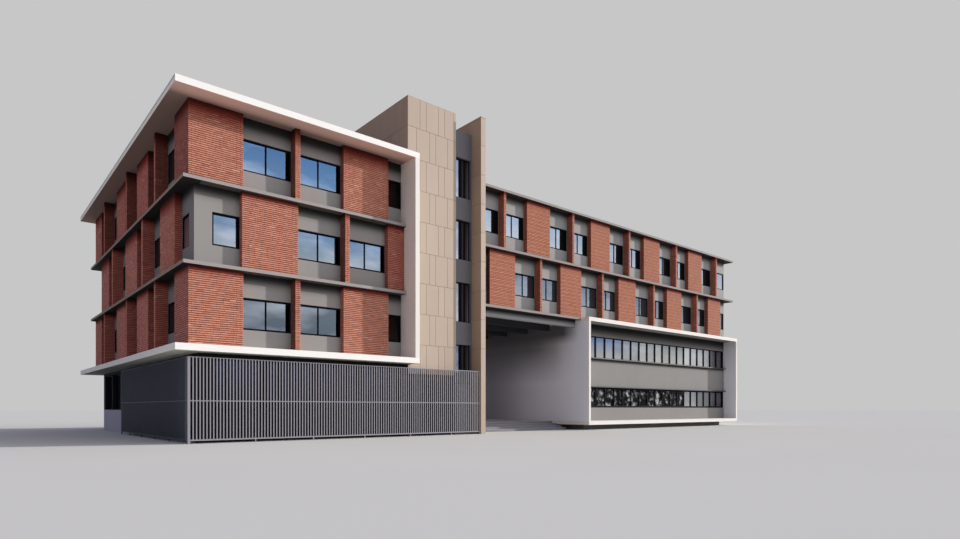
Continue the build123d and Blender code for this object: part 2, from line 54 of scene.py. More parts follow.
# ------------------------------------------------------------------ real dimensions
Z_GF, Z1, Z2, Z3, ZR = 0.56, 4.13, 7.73, 11.33, 14.93
T_WHITE, T_STR, SILL, HEAD, WALL, INSET = 0.285, 0.15, 0.90, 2.36, 0.20, 0.10
BX_SLAB, BX_BRICK, BX_WALL = 0.53, 0.80, 1.10
BY_SLAB, BY_BRICK, BY_WALL = 0.86, 1.08, 1.38
BKY_WALL, BKY_BRICK, BKY_SLAB = 23.26, 23.56, 23.78
CX_WALL, CX_BRICK, CX_SLAB = 11.35, 11.65, 11.92
TX0, TX1, TY0, TY1, TZ = 11.75, 15.00, 0.86, 8.86, 18.27
CLAD_Z = 3.34
FIN_X0, FIN_X1, FIN_Y0, FIN_Z = 16.37, 16.69, 0.23, 18.33
STRIP_Y, STRIP_Z = 1.08, 17.50
WX0, WX1, LENGTH = 16.69, 46.58, 47.30
WY_SLAB, WY_BRICK, WY_WALL = 0.99, 1.21, 1.51
WBY_WALL, WBY_BRICK, WBY_SLAB = 12.10, 12.40, 12.62
PITCH, PANEL_W, FIN_W, SET = 6.341, 2.087, 0.16, 0.03
QX0, QX1, QT, QZ1, QZ2 = 26.09, 46.66, 0.195, 0.605, 7.46
RIB_LOW, RIB_HIGH = (1.54, 3.00), (5.10, 6.65)
GF_SILL, GF_HEAD = 1.38, 3.65

UPPER = [(Z1, Z2 - T_STR), (Z2, Z3 - T_STR), (Z3, ZR - T_WHITE)]
WING = [(Z2, Z3 - T_STR), (Z3, ZR - T_STR)]
B_FRONT_A = [(3.07, 5.455), (5.675, 8.06), (10.64, 11.65)]
B_FRONT_M = [(1.85, 3.05), (5.65, 8.05), (8.27, 10.64)]
B_SIDE_A = [(3.20, 5.65), (5.88, 8.20), (10.70, 12.05), (12.28, 13.65), (16.15, 18.70), (18.93, 21.25)]
B_SIDE_M = [(2.10, 3.20), (5.75, 8.25), (8.48, 10.70), (13.65, 16.05), (16.28, 18.65), (21.25, 22.30)]
B_BACK_A = [(3.07, 5.02), (5.24, 7.18), (7.40, 9.35)]
B_BACK_M = [(1.90, 3.07), (5.13, 7.29), (9.35, 10.50)]
B_COURT_A = [(12.90, 14.00), (16.15, 18.70), (18.93, 21.25)]
B_COURT_M = [(14.00, 16.05), (16.28, 18.65), (21.25, 22.30)]
LOW_PANELS = [(17.90 + PITCH * k, 17.90 + PANEL_W + PITCH * k) for k in range(5)]
LOW_FINS = [(22.074 + PITCH * k, 22.074 + FIN_W + PITCH * k) for k in range(4)]
TOP_PANELS = [(21.081 + PITCH * k, 21.081 + PANEL_W + PITCH * k) for k in range(4)]
TOP_FINS = [(18.893 + PITCH * k, 18.893 + FIN_W + PITCH * k) for k in range(5)]


def gaps(taken, start, end):
    out, at = [], start
    for a, b in sorted(taken):
        out.append((at, a))
        at = b
    out.append((at, end))
    return [(a, b) for a, b in out if b - a > 0.5]


W_LOW = gaps(LOW_PANELS + LOW_FINS, WX0 + 0.05, WX1 - 0.05)
W_TOP = gaps(TOP_PANELS + TOP_FINS, WX0 + 0.05, WX1 - 0.05)
W_END_LOW = [(1.93, 3.75), (3.97, 5.84), (7.94, 9.83), (10.05, 11.85)]
W_END_TOP = [(1.93, 3.10), (5.20, 6.78), (7.00, 8.58), (10.68, 11.85)]
LOBBY = [(12.25, 14.10), (14.45, 16.30)]
GF_SIDE = [(1.60 + 2.575 * k, 3.975 + 2.575 * k) for k in range(8)]
GF_FRONT = [(1.75 + 2.45 * k, 4.00 + 2.45 * k) for k in range(4)]
STAIR_HEADS = [5.16, 8.78, 12.39, 15.98]


# ------------------------------------------------------------------ mesh helpers
def templates():
    """Corners and faces of a chamfered unit block: each corner as (axis whose face it lies on, three signs)."""
    corners, index = [], {}
    for a in range(3):
        for sx in (-1, 1):
            for sy in (-1, 1):
                for sz in (-1, 1):
                    index[(a, sx, sy, sz)] = len(corners)
                    corners.append((a, sx, sy, sz))
    place = []
    for a, *s in corners:
        place.append([s[i] * (1.0 if i == a else 0.8) for i in range(3)])
    place = np.array(place)
    faces = []
    for a in range(3):
        b, c = [i for i in range(3) if i != a]
        for sa in (-1, 1):
            ring = []
            for sb, sc in ((-1, -1), (1, -1), (1, 1), (-1, 1)):
                s = [0, 0, 0]
                s[a], s[b], s[c] = sa, sb, sc
                ring.append(index[(a, *s)])
            faces.append(ring)
    for c in range(3):
        a, b = [i for i in range(3) if i != c]
        for sa in (-1, 1):
            for sb in (-1, 1):
                ring = []
                for ax, sc in ((a, -1), (a, 1), (b, 1), (b, -1)):
                    s = [0, 0, 0]
                    s[a], s[b], s[c] = sa, sb, sc
                    ring.append(index[(ax, *s)])
                faces.append(ring)
    for sx in (-1, 1):
        for sy in (-1, 1):
            for sz in (-1, 1):
                faces.append([index[(a, sx, sy, sz)] for a in range(3)])
    fixed = []
    for f in faces:
        p = place[f]
        n = np.cross(p[1] - p[0], p[2] - p[0])
        fixed.append(f if n.dot(p.mean(0)) > 0 else f[::-1])
    return np.array([c for c in corners]), fixed


BLOCK_CORNERS, BLOCK_FACES = templates()


def facing_templates(axis, sign):
    """A block chamfered only round its outward face: 4 front, 4 ring and 4 back corners."""
    b, c = [i for i in range(3) if i != axis]
    corners = []
    for layer in range(3):
        for sb, sc in ((-1, -1), (1, -1), (1, 1), (-1, 1)):
            corners.append((layer, sb, sc))
    place = []
    for layer, sb, sc in corners:
        p = [0.0, 0.0, 0.0]
        p[axis] = sign * (1.0, 0.8, -1.0)[layer]
        k = 0.8 if layer == 0 else 1.0
        p[b], p[c] = sb * k, sc * k
        place.append(p)
    place = np.array(place)
    faces = [[0, 1, 2, 3], [8, 9, 10, 11]]
    for i in range(4):
        j = (i + 1) % 4
        faces.append([i, j, 4 + j, 4 + i])
        faces.append([4 + i, 4 + j, 8 + j, 8 + i])
    fixed = []
    for f in faces:
        p = place[f]
        n = np.cross(p[1] - p[0], p[2] - p[0])
        fixed.append(f if n.dot(p.mean(0)) > 0 else f[::-1])
    return corners, fixed


def painted_shade_under_slabs(z, eaves):
    """Painted shade that a course carries close under a slab: 1 in the open.  eaves: (underside, depth of the painted
    shade).
    """
    f = np.ones(len(z))
    for top, deep in eaves:
        t = (top - z) / deep
        g = np.interp(t, [0.0, 0.12, 0.26, 0.44, 0.62, 0.80, 1.0], [0.10, 0.14, 0.30, 0.56, 0.78, 0.92, 1.0])
        f = np.where((t > -0.05) & (t < 1.0), g, f)
    return f


class Blocks:
    """Collects many small blocks, given in real metres, and makes one mesh of them."""

    def __init__(self):
        self.full, self.faced = [], {}

    def box(self, x0, x1, y0, y1, z0, z1, ch=0.004, tone=0.5):
        self.full.append((x0, x1, y0, y1, z0, z1, ch, tone))

    def facing(self, axis, sign, x0, x1, y0, y1, z0, z1, ch=0.004, tone=0.5):
        self.faced.setdefault((axis, sign), []).append((x0, x1, y0, y1, z0, z1, ch, tone))

    def count(self):
        return 44 * len(self.full) + 20 * sum(len(v) for v in self.faced.values())

    def make(self, name, material, slot, eaves=None, extra=None):
        verts, tones, groups, base = [], [], [], 0
        if self.full:
            a = np.array(self.full, float)
            lo, hi = a[:, [0, 2, 4]], a[:, [1, 3, 5]]
            mid, half = (lo + hi) / 2, (hi - lo) / 2
            ch = np.minimum(a[:, 6], half.min(1) * 0.45)
            n = len(a)
            v = np.zeros((n, 24, 3))
            for j, (ax, sx, sy, sz) in enumerate(BLOCK_CORNERS):
                s = np.array([sx, sy, sz], float)
                inset = half - ch[:, None]
                inset[:, ax] = half[:, ax]
                v[:, j] = mid + s * inset
            verts.append(v.reshape(-1, 3))
            tones.append(np.repeat(a[:, 7], 24))
            groups.append((BLOCK_FACES, n, 24, base))
            base += n * 24
        for (axis, sign), rows in self.faced.items():
            corners, faces = facing_templates(axis, sign)
            a = np.array(rows, float)
            lo, hi = a[:, [0, 2, 4]], a[:, [1, 3, 5]]
            mid, half = (lo + hi) / 2, (hi - lo) / 2
            ch = np.minimum(a[:, 6], half.min(1) * 0.6)
            b, c = [i for i in range(3) if i != axis]
            n = len(a)
            v = np.zeros((n, 12, 3))
            for j, (layer, sb, sc) in enumerate(corners):
                p = mid.copy()
                reach = half[:, axis] - (ch if layer == 1 else 0)
                p[:, axis] = mid[:, axis] + sign * (reach if layer < 2 else -half[:, axis])
                k = ch if layer == 0 else 0
                p[:, b] = mid[:, b] + sb * (half[:, b] - 0.25 * k)
                p[:, c] = mid[:, c] + sc * (half[:, c] - k)
                v[:, j] = p
            verts.append(v.reshape(-1, 3))
            tones.append(np.repeat(a[:, 7], 12))
            groups.append((faces, n, 12, base))
            base += n * 12
        v = np.concatenate(verts)
        # the shade attribute: painted shade under the slabs, times any extra painted shade by place
        shade = None if eaves is None else painted_shade_under_slabs(v[:, 2], eaves)
        if shade is not None and extra is not None:
            shade = shade * extra(v)
        v = (v - np.array([OX, OY, 0.0])) * K
        loops, starts, sizes, at = [], [], [], 0
        for faces, n, per, first in groups:
            off = first + np.arange(n) * per
            for f in faces:
                ring = off[:, None] + np.array(f)[None, :]
                loops.append(ring.reshape(-1))
                starts.append(at + np.arange(n) * len(f))
                sizes.append(np.full(n, len(f)))
                at += n * len(f)
        loops, starts, sizes = np.concatenate(loops), np.concatenate(starts), np.concatenate(sizes)
        me = bpy.data.meshes.new(name)
        me.vertices.add(len(v))
        me.vertices.foreach_set("co", v.astype(np.float32).reshape(-1))
        me.loops.add(len(loops))
        me.loops.foreach_set("vertex_index", loops.astype(np.int32))
        me.polygons.add(len(starts))
        me.polygons.foreach_set("loop_start", starts.astype(np.int32))
        me.polygons.foreach_set("loop_total", sizes.astype(np.int32))
        me.update(calc_edges=True)
        me.validate()
        me.shade_flat()
        attr = me.attributes.new("tone", "FLOAT", "POINT")
        attr.data.foreach_set("value", np.concatenate(tones).astype(np.float32))
        if shade is not None:
            me.attributes.new("shade", "FLOAT", "POINT").data.foreach_set("value", shade.astype(np.float32))
        ob = bpy.data.objects.new(name, me)
        bpy.context.scene.collection.objects.link(ob)
        me.materials.append(material)
        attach(ob, "root")
        return ob


class Face:
    """An upright wall face: u runs along it, w stands out from it."""

    def __init__(self, axis, sign, at):
        self.axis, self.sign, self.at = axis, sign, at

    def span(self, u0, u1, w0, w1):
        a, b = sorted((self.at + self.sign * w0, self.at + self.sign * w1))
        return (u0, u1, a, b) if self.axis == 1 else (a, b, u0, u1)

    def put(self, blocks, u0, u1, w0, w1, z0, z1, ch=0.003, tone=0.5):
        blocks.box(*self.span(u0, u1, w0, w1), z0, z1, ch, tone)


FRONT, BACK, LEFT, RIGHT = (1, -1), (1, 1), (0, -1), (0, 1)


# ------------------------------------------------------------------ materials
def lin(r, g, b):
    return tuple((c / 255 / 12.92) if c / 255 <= 0.04045 else ((c / 255 + 0.055) / 1.055) ** 2.4 for c in (r, g, b))


class Tree:
    """Small builder for shader nodes."""

    def __init__(self, name):
        self.m = bpy.data.materials.new(name)
        self.m.use_nodes = True
        self.t = self.m.node_tree
        self.p = self.t.nodes["Principled BSDF"]
        self.tc = self.t.nodes.new("ShaderNodeTexCoord")

    def node(self, kind, links=(), **settings):
        n = self.t.nodes.new(kind)
        for k, v in settings.items():
            setattr(n, k, v)
        for sock, val in links:
            if isinstance(val, bpy.types.NodeSocket):
                self.t.links.new(val, n.inputs[sock])
            else:
                n.inputs[sock].default_value = val
        return n

    def coords(self, sx=1.0, sy=1.0, sz=1.0):
        return self.node("ShaderNodeMapping", [("Vector", self.tc.outputs["Object"]), ("Scale", (sx, sy, sz))]).outputs["Vector"]

    def noise(self, scale, detail=4.0, rough=0.55, vec=None, stretch=(1, 1, 1)):
        v = vec or self.coords(*stretch)
        return self.node("ShaderNodeTexNoise", [("Vector", v), ("Scale", scale), ("Detail", detail), ("Roughness", rough)]).outputs["Fac"]

    def ramp(self, fac, stops, mode="LINEAR"):
        n = self.node("ShaderNodeValToRGB", [("Fac", fac)])
        cr = n.color_ramp
        cr.interpolation = mode
        while len(cr.elements) > 1:
            cr.elements.remove(cr.elements[-1])
        for i, (p, c) in enumerate(stops):
            e = cr.elements[0] if i == 0 else cr.elements.new(p)
            e.position = p
            e.color = (*c, 1.0) if len(c) == 3 else c
        return n.outputs["Color"]

    def math(self, op, a, b=0.0, c=0.0, clamp=False):
        n = self.node("ShaderNodeMath", operation=op, use_clamp=clamp)
        for i, v in enumerate((a, b, c)):
            if i >= len(n.inputs):
                break
            if isinstance(v, bpy.types.NodeSocket):
                self.t.links.new(v, n.inputs[i])
            else:
                n.inputs[i].default_value = v
        return n.outputs[0]

    def mix(self, fac, a, b, blend="MIX"):
        n = self.t.nodes.new("ShaderNodeMix")
        n.data_type = "RGBA"
        n.blend_type = blend
        for i, v in ((0, fac), (6, a), (7, b)):
            if isinstance(v, bpy.types.NodeSocket):
                self.t.links.new(v, n.inputs[i])
            else:
                n.inputs[i].default_value = v if i == 0 else ((*v, 1.0) if len(v) == 3 else v)
        return n.outputs[2]

    def attr(self, name):
        return self.node("ShaderNodeAttribute", attribute_name=name).outputs

    def bump(self, height, strength=0.3, distance=0.002, normal=None):
        n = self.node("ShaderNodeBump", [("Height", height), ("Strength", strength), ("Distance", distance)])
        if normal is not None:
            self.t.links.new(normal, n.inputs["Normal"])
        return n.outputs["Normal"]

    def set(self, **inputs):
        for k, v in inputs.items():
            k = {"base": "Base Color", "rough": "Roughness", "metal": "Metallic", "normal": "Normal", "alpha": "Alpha",
                 "ior": "IOR", "spec": "Specular IOR Level", "coat": "Coat Weight", "coat_rough": "Coat Roughness"}[k]
            if isinstance(v, bpy.types.NodeSocket):
                self.t.links.new(v, self.p.inputs[k])
            else:
                self.p.inputs[k].default_value = (*v, 1.0) if isinstance(v, tuple) and len(v) == 3 else v
        return self.m


def top_mask(t):
    """1 on faces that look up."""
    n = t.node("ShaderNodeNewGeometry").outputs["Normal"]
    z = t.node("ShaderNodeSeparateXYZ", [("Vector", n)]).outputs["Z"]
    return t.math("GREATER_THAN", z, 0.7)


def west_mask(t):
    """1 on faces that look to the left, away from the light."""
    n = t.node("ShaderNodeNewGeometry").outputs["Normal"]
    return t.math("LESS_THAN", t.node("ShaderNodeSeparateXYZ", [("Vector", n)]).outputs["X"], -0.7)


def height(t):
    return t.node("ShaderNodeSeparateXYZ", [("Vector", t.tc.outputs["Object"])]).outputs["Z"]


def axis_of(t, which):
    """Real-building coordinate along X, Y or Z."""
    v = t.node("ShaderNodeSeparateXYZ", [("Vector", t.tc.outputs["Object"])]).outputs[which]
    return t.math("ADD", t.math("DIVIDE", v, K), {"X": OX, "Y": OY, "Z": 0.0}[which])


def curve(t, value, points, lo, hi):
    """A grey value read from (place, value) points."""
    f = t.math("DIVIDE", t.math("SUBTRACT", value, lo), hi - lo, clamp=True)
    return t.ramp(f, [((p - lo) / (hi - lo), (v, v, v)) for p, v in points])


def render_coat(name, light, dark, grain=0.02, mottle=0.9, rough=0.82, streak=0.06, roof=None, roof_below=None, soffit=None, eaves=None, west=None, left_top_band=None):
    """Painted render or smooth concrete: soft mottling, rain streaks, fine grain.
    roof: colour of upward faces.  soffit: (tint, points, points on the left side): painted shade and painted tint on
    downward faces, by depth.  eaves: a function giving the painted shade to multiply by.  west: painted light and shade
    on left-facing faces.  The last setting gives the depth of a thin darker band along the top of left-facing faces."""
    t = Tree(name)
    big = t.noise(mottle, 5.0, 0.6)
    col = t.mix(big, dark, light)
    runs = t.noise(1.0, 3.0, 0.5, stretch=(7.0, 7.0, 0.45))
    runs = t.math("MULTIPLY", t.math("SUBTRACT", runs, 0.52, clamp=True), streak * 8, clamp=True)
    col = t.mix(runs, col, tuple(c * 0.72 for c in dark))
    fine = t.noise(95.0, 3.0, 0.6)
    col = t.mix(t.math("MULTIPLY", fine, 0.10), col, tuple(c * 0.6 for c in dark))
    rg = t.math("ADD", t.math("MULTIPLY", fine, 0.12), rough - 0.06)
    hgt = t.math("ADD", t.math("MULTIPLY", fine, 0.6), t.math("MULTIPLY", t.noise(22.0, 3.0, 0.5), 0.4))
    if roof is not None:
        mask = top_mask(t)
        if roof_below is not None:
            mask = t.math("MULTIPLY", mask, t.math("LESS_THAN", height(t), roof_below))
        patch = t.mix(t.noise(0.55, 6.0, 0.65), tuple(c * 0.72 for c in roof), roof)
        grit = t.noise(160.0, 2.0, 0.7)
        patch = t.mix(t.math("MULTIPLY", grit, 0.35), patch, tuple(c * 0.5 for c in roof))
        laps = t.node("ShaderNodeTexBrick", [("Vector", t.coords()), ("Scale", 1.0), ("Mortar Size", 0.006), ("Brick Width", 4.0), ("Row Height", 0.5)])
        patch = t.mix(t.math("MULTIPLY", laps.outputs["Fac"], 0.55), patch, tuple(c * 0.45 for c in roof))
        col = t.mix(mask, col, patch)
        hgt = t.math("ADD", hgt, t.math("MULTIPLY", t.math("MULTIPLY", mask, laps.outputs["Fac"]), 0.8))
    # painted shade and painted tint on downward faces, by depth, with its own depth curve on the left side
    if soffit is not None:
        tint_, points, left = soffit
        n = t.node("ShaderNodeNewGeometry").outputs["Normal"]
        down = t.math("LESS_THAN", t.node("ShaderNodeSeparateXYZ", [("Vector", n)]).outputs["Z"], -0.7)
        grey = curve(t, axis_of(t, "Y"), points, points[0][0], points[-1][0])
        if left is not None:
            side_ = curve(t, axis_of(t, "Y"), left, left[0][0], left[-1][0])
            grey = t.mix(t.math("LESS_THAN", axis_of(t, "X"), 1.30), grey, side_)
        col = t.mix(down, col, t.mix(1.0, t.mix(1.0, col, tint_, "MULTIPLY"), grey, "MULTIPLY"))
    # painted light and shade on left-facing faces
    if west is not None:
        col = t.mix(west_mask(t), col, t.mix(1.0, col, west, "MULTIPLY"))
    if left_top_band is not None:                     # a thin darker band along the top of the left-facing faces
        top_band_mask = t.math("MULTIPLY", west_mask(t), t.math("GREATER_THAN", axis_of(t, "Z"), ZR - left_top_band))
        col = t.mix(top_band_mask, col, t.mix(1.0, col, (0.50, 0.50, 0.56), "MULTIPLY"))
    # painted shade by place, multiplied in
    if eaves is not None:
        col = t.mix(1.0, col, eaves(t), "MULTIPLY")
    return t.set(base=col, rough=rg, normal=t.bump(hgt, 0.25, grain * 0.05), spec=0.2)


SLAB_SHADE = [(0.0, 0.04), (0.08, 0.05), (0.18, 0.10), (0.28, 0.26), (0.38, 0.52), (0.48, 0.76), (0.60, 0.92), (0.72, 1.0)]
ROOF_SHADE = [(0.0, 0.03), (0.145, 0.04), (0.245, 0.055), (0.345, 0.11), (0.445, 0.27), (0.545, 0.52), (0.645, 0.72), (0.745, 0.86), (0.90, 1.0)]


def storey_eaves(roof_drop, raise_=0.0):
    """Shade under each slab of the 3.6 m storeys.  roof_drop: how much lower the top storey's underside is."""
    def build(t):
        z = axis_of(t, "Z")
        q = t.math("MULTIPLY", t.math("FRACT", t.math("DIVIDE", t.math("SUBTRACT", z, Z1), 3.6)), 3.6)
        low = curve(t, t.math("SUBTRACT", 3.45 + raise_, q), SLAB_SHADE, 0.0, 0.72)
        if not roof_drop:
            return low
        top = curve(t, t.math("SUBTRACT", 3.45 - roof_drop, q), ROOF_SHADE, 0.0, 0.90)
        return t.mix(t.math("GREATER_THAN", z, Z3), low, top)
    return build


def box_eaves(t):
    """Shade under the box's top plate and under its upper ledge."""
    z = axis_of(t, "Z")
    top = curve(t, t.math("SUBTRACT", QZ2, z), [(0.0, 0.03), (0.12, 0.03), (0.22, 0.05), (0.32, 0.11), (0.42, 0.21), (0.52, 0.34), (0.62, 0.50), (0.80, 0.80), (0.9, 0.9)], 0.0, 0.9)
    led = curve(t, t.math("SUBTRACT", RIB_HIGH[0] - 0.07, z), [(0.0, 0.10), (0.05, 0.16), (0.12, 0.45), (0.22, 0.80), (0.34, 1.0)], 0.0, 0.34)
    return t.mix(t.math("GREATER_THAN", z, 6.0), t.mix(t.math("GREATER_THAN", z, RIB_HIGH[0] - 0.06), led, (1.0, 1.0, 1.0)), top)


def porch_shade(t):
    """The box's side wall darkens towards the back of the porch, most of all under its ceiling."""
    y, z = axis_of(t, "Y"), axis_of(t, "Z")
    low = curve(t, y, [(0.3, 1.0), (5.0, 1.0), (6.5, 0.90), (8.0, 0.68), (10.0, 0.47), (12.4, 0.42)], 0.3, 12.4)
    high = curve(t, y, [(0.3, 1.0), (1.5, 0.96), (2.5, 0.84), (3.5, 0.52), (5.0, 0.30), (6.0, 0.26), (12.4, 0.22)], 0.3, 12.4)
    ceil = curve(t, y, [(0.3, 1.0), (1.2, 0.92), (1.7, 0.62), (2.6, 0.16), (3.5, 0.15), (12.4, 0.16)], 0.3, 12.4)
    wall = t.mix(t.math("DIVIDE", t.math("SUBTRACT", z, 3.3), 2.5, clamp=True), low, high)
    return t.mix(t.math("DIVIDE", t.math("SUBTRACT", z, 6.0), 0.7, clamp=True), wall, ceil)


def side_base(t):
    """Painted shade on the side wall: beyond the screen it keeps its light grey up to its sills, the rest is painted
    near black.
    """
    m = t.math("MULTIPLY", t.math("GREATER_THAN", axis_of(t, "Y"), 13.55), t.math("LESS_THAN", axis_of(t, "Z"), GF_SILL + 0.01))
    return t.mix(m, (0.025, 0.025, 0.028), (1.0, 1.0, 1.0))


def right_wall_shade(t):
    """Inside the recess the right wall darkens towards the top."""
    return curve(t, axis_of(t, "Z"), [(0.5, 1.0), (3.5, 1.0), (5.5, 0.97), (6.8, 0.88), (7.40, 0.76), (7.47, 1.0)], 0.5, 7.47)


def beam_shade(t):
    """The first beam catches light below the slab's shadow, the ones behind it stay dark."""
    y, z = axis_of(t, "Y"), axis_of(t, "Z")
    front = curve(t, z, [(7.10, 0.62), (7.20, 1.0), (7.30, 0.72), (7.40, 0.36), (7.50, 0.08), (7.58, 0.03)], 7.10, 7.58)
    return t.mix(t.math("GREATER_THAN", y, 2.0), front, (0.105, 0.105, 0.12))


def brick_coat(name, stops, speck=0.5, west=None, south=None):
    """One tone for each brick, with burnt patches, sand grain and softer edges."""
    t = Tree(name)
    tone = t.attr("tone")["Fac"]
    blot = t.noise(14.0, 4.0, 0.6)
    f = t.math("ADD", t.math("MULTIPLY", tone, 0.82), t.math("MULTIPLY", blot, 0.18), clamp=True)
    col = t.ramp(f, stops)
    area = t.noise(0.45, 3.0, 0.5)
    col = t.mix(t.math("MULTIPLY", area, 0.22), col, tuple(c * 0.72 for c in stops[1][1]))
    grit = t.noise(130.0, 3.0, 0.65)
    col = t.mix(t.math("MULTIPLY", grit, speck * 0.3), col, tuple(c * 0.45 for c in stops[0][1]))
    sh = t.attr("shade")["Fac"]                # painted shade under slabs from the shade attribute: the darker, the redder
    green, blue = t.math("POWER", sh, 1.90), t.math("POWER", sh, 1.95)
    col = t.mix(1.0, col, t.node("ShaderNodeCombineXYZ", [("X", sh), ("Y", green), ("Z", blue)]).outputs[0], "MULTIPLY")
    # painted light and shade on left-facing faces
    if west is not None:
        col = t.mix(west_mask(t), col, t.mix(1.0, col, west(t), "MULTIPLY"))
    # painted shade on front-facing faces
    if south is not None:
        n = t.node("ShaderNodeNewGeometry").outputs["Normal"]
        front = t.math("LESS_THAN", t.node("ShaderNodeSeparateXYZ", [("Vector", n)]).outputs["Y"], -0.7)
        col = t.mix(front, col, t.mix(1.0, col, south(t), "MULTIPLY"))
    h = t.math("ADD", t.math("MULTIPLY", grit, 0.6), t.math("MULTIPLY", blot, 0.4))
    return t.set(base=col, rough=t.math("ADD", t.math("MULTIPLY", grit, 0.15), 0.78), normal=t.bump(h, 0.45, 0.002), spec=0.25)


def mortar_coat(name, light, dark):
    t = Tree(name)
    g = t.noise(70.0, 4.0, 0.7)
    col = t.mix(t.noise(3.0, 4.0, 0.6), dark, light)
    col = t.mix(t.math("MULTIPLY", g, 0.4), col, tuple(c * 0.5 for c in dark))
    return t.set(base=col, rough=0.93, normal=t.bump(g, 0.5, 0.002), spec=0.2)


def stone_coat(name, light, dark, rough=0.62):
    """Honed cladding slabs: one tone a slab, faint cloud and fine pores."""
    t = Tree(name)
    tone = t.attr("tone")["Fac"]
    cloud = t.noise(1.6, 5.0, 0.6, stretch=(1.0, 1.0, 0.55))
    f = t.math("ADD", t.math("MULTIPLY", tone, 0.55), t.math("MULTIPLY", cloud, 0.45), clamp=True)
    col = t.mix(f, dark, light)
    vein = t.noise(5.0, 8.0, 0.7, stretch=(1.0, 1.0, 0.22))
    col = t.mix(t.math("MULTIPLY", t.math("SUBTRACT", vein, 0.55, clamp=True), 0.9), col, tuple(c * 0.78 for c in dark))
    pores = t.noise(180.0, 2.0, 0.7)
    col = t.mix(t.math("MULTIPLY", pores, 0.14), col, tuple(c * 0.5 for c in dark))
    # painted shade on left-facing faces
    n = t.node("ShaderNodeNewGeometry").outputs["Normal"]
    west = t.math("LESS_THAN", t.node("ShaderNodeSeparateXYZ", [("Vector", n)]).outputs["X"], -0.7)
    col = t.mix(west, col, t.mix(1.0, col, (1.00, 0.89, 0.80), "MULTIPLY"))
    # painted shade behind the slat screen, below 3.64 m
    screened = t.math("MULTIPLY", t.math("LESS_THAN", axis_of(t, "Z"), 3.64), t.math("LESS_THAN", axis_of(t, "X"), TX1 + 0.05))
    col = t.mix(screened, col, t.mix(1.0, col, (0.50, 0.48, 0.46), "MULTIPLY"))
    return t.set(base=col, rough=t.math("ADD", t.math("MULTIPLY", pores, 0.15), rough - 0.07), normal=t.bump(pores, 0.18, 0.0012), spec=0.4)


def joint_coat(name, col):
    t = Tree(name)
    g = t.noise(60.0, 3.0, 0.6)
    return t.set(base=t.mix(g, tuple(c * 0.7 for c in col), col), rough=0.9, normal=t.bump(g, 0.3, 0.001), spec=0.2)


def metal_paint(name, col, rough=0.36, metal=0.0, dust=0.25, spec=0.5, strip=None, west=None):
    """Powder coat: orange peel and a little dust in soft clouds."""
    t = Tree(name)
    peel = t.noise(240.0, 2.0, 0.5)
    cloud = t.noise(2.2, 4.0, 0.6)
    base = t.mix(t.math("MULTIPLY", cloud, dust), col, tuple(min(1.0, c * 0.8 + 0.02) for c in col))
    if strip is not None:                      # the painted shade is lighter up to this depth, by the front corner
        base = t.mix(t.math("LESS_THAN", axis_of(t, "Y"), strip), base, t.mix(1.0, base, (2.4, 2.3, 2.2), "MULTIPLY"))
    # painted shade on left-facing faces right of X 0.85
    if west is not None:
        base = t.mix(t.math("MULTIPLY", west_mask(t), t.math("GREATER_THAN", axis_of(t, "X"), 0.85)), base, t.mix(1.0, base, (west, west, west), "MULTIPLY"))
    return t.set(base=base, rough=t.math("ADD", t.math("MULTIPLY", cloud, 0.16), rough - 0.06), metal=metal, normal=t.bump(peel, 0.06, 0.0006), spec=spec)


def paving_coat(name, light, dark):
    """Grey flags with fine joints on the upward faces, plain concrete on the rest."""
    t = Tree(name)
    cloud = t.noise(1.3, 5.0, 0.6)
    col = t.mix(cloud, dark, light)
    flags = t.node("ShaderNodeTexBrick", [("Vector", t.coords()), ("Scale", 1.0), ("Mortar Size", 0.004), ("Brick Width", 0.45), ("Row Height", 0.45)], offset=0.0)
    line = t.math("MULTIPLY", flags.outputs["Fac"], top_mask(t))
    col = t.mix(t.math("MULTIPLY", line, 0.6), col, tuple(c * 0.45 for c in dark))
    grit = t.noise(120.0, 3.0, 0.7)
    col = t.mix(t.math("MULTIPLY", grit, 0.18), col, tuple(c * 0.5 for c in dark))
    # painted shade on front-facing risers
    n = t.node("ShaderNodeNewGeometry").outputs["Normal"]
    riser = t.math("LESS_THAN", t.node("ShaderNodeSeparateXYZ", [("Vector", n)]).outputs["Y"], -0.7)
    col = t.mix(riser, col, t.mix(1.0, col, (0.42, 0.42, 0.45), "MULTIPLY"))
    h = t.math("SUBTRACT", t.math("MULTIPLY", grit, 0.4), line)
    return t.set(base=col, rough=0.74, normal=t.bump(h, 0.3, 0.0015), spec=0.35)


def painted_pane_coat(name):
    """Plain panes carrying painted tints: painted shade of the dim stair and unlit rooms, and painted reflections on
    the block's side windows.
    """
    t = Tree(name)
    cloud = t.noise(1.1, 3.0, 0.5, stretch=(1.0, 1.0, 0.4))
    tint = t.attr("tint")["Color"]
    return t.set(base=t.mix(cloud, t.mix(1.0, tint, (0.75, 0.75, 0.78), "MULTIPLY"), t.mix(1.0, tint, (1.2, 1.2, 1.2), "MULTIPLY")), rough=0.35, spec=0.06)


def mottled_coat(name):
    """Dark glass with a broken, spotty reflection of what stands in front of it."""
    t = Tree(name)
    spots = t.noise(5.5, 5.0, 0.62)
    mass = t.noise(1.5, 2.0, 0.5)
    f = t.math("ADD", t.math("MULTIPLY", spots, 0.8), t.math("MULTIPLY", mass, 0.2))
    col = t.ramp(f, [(0.0, (0.001, 0.001, 0.001)), (0.44, (0.002, 0.002, 0.002)), (0.50, (0.011, 0.012, 0.012)), (0.55, (0.075, 0.078, 0.078)), (0.62, (0.38, 0.39, 0.39)), (1.0, (0.55, 0.56, 0.56))])
    return t.set(base=col, rough=0.3, spec=0.02)


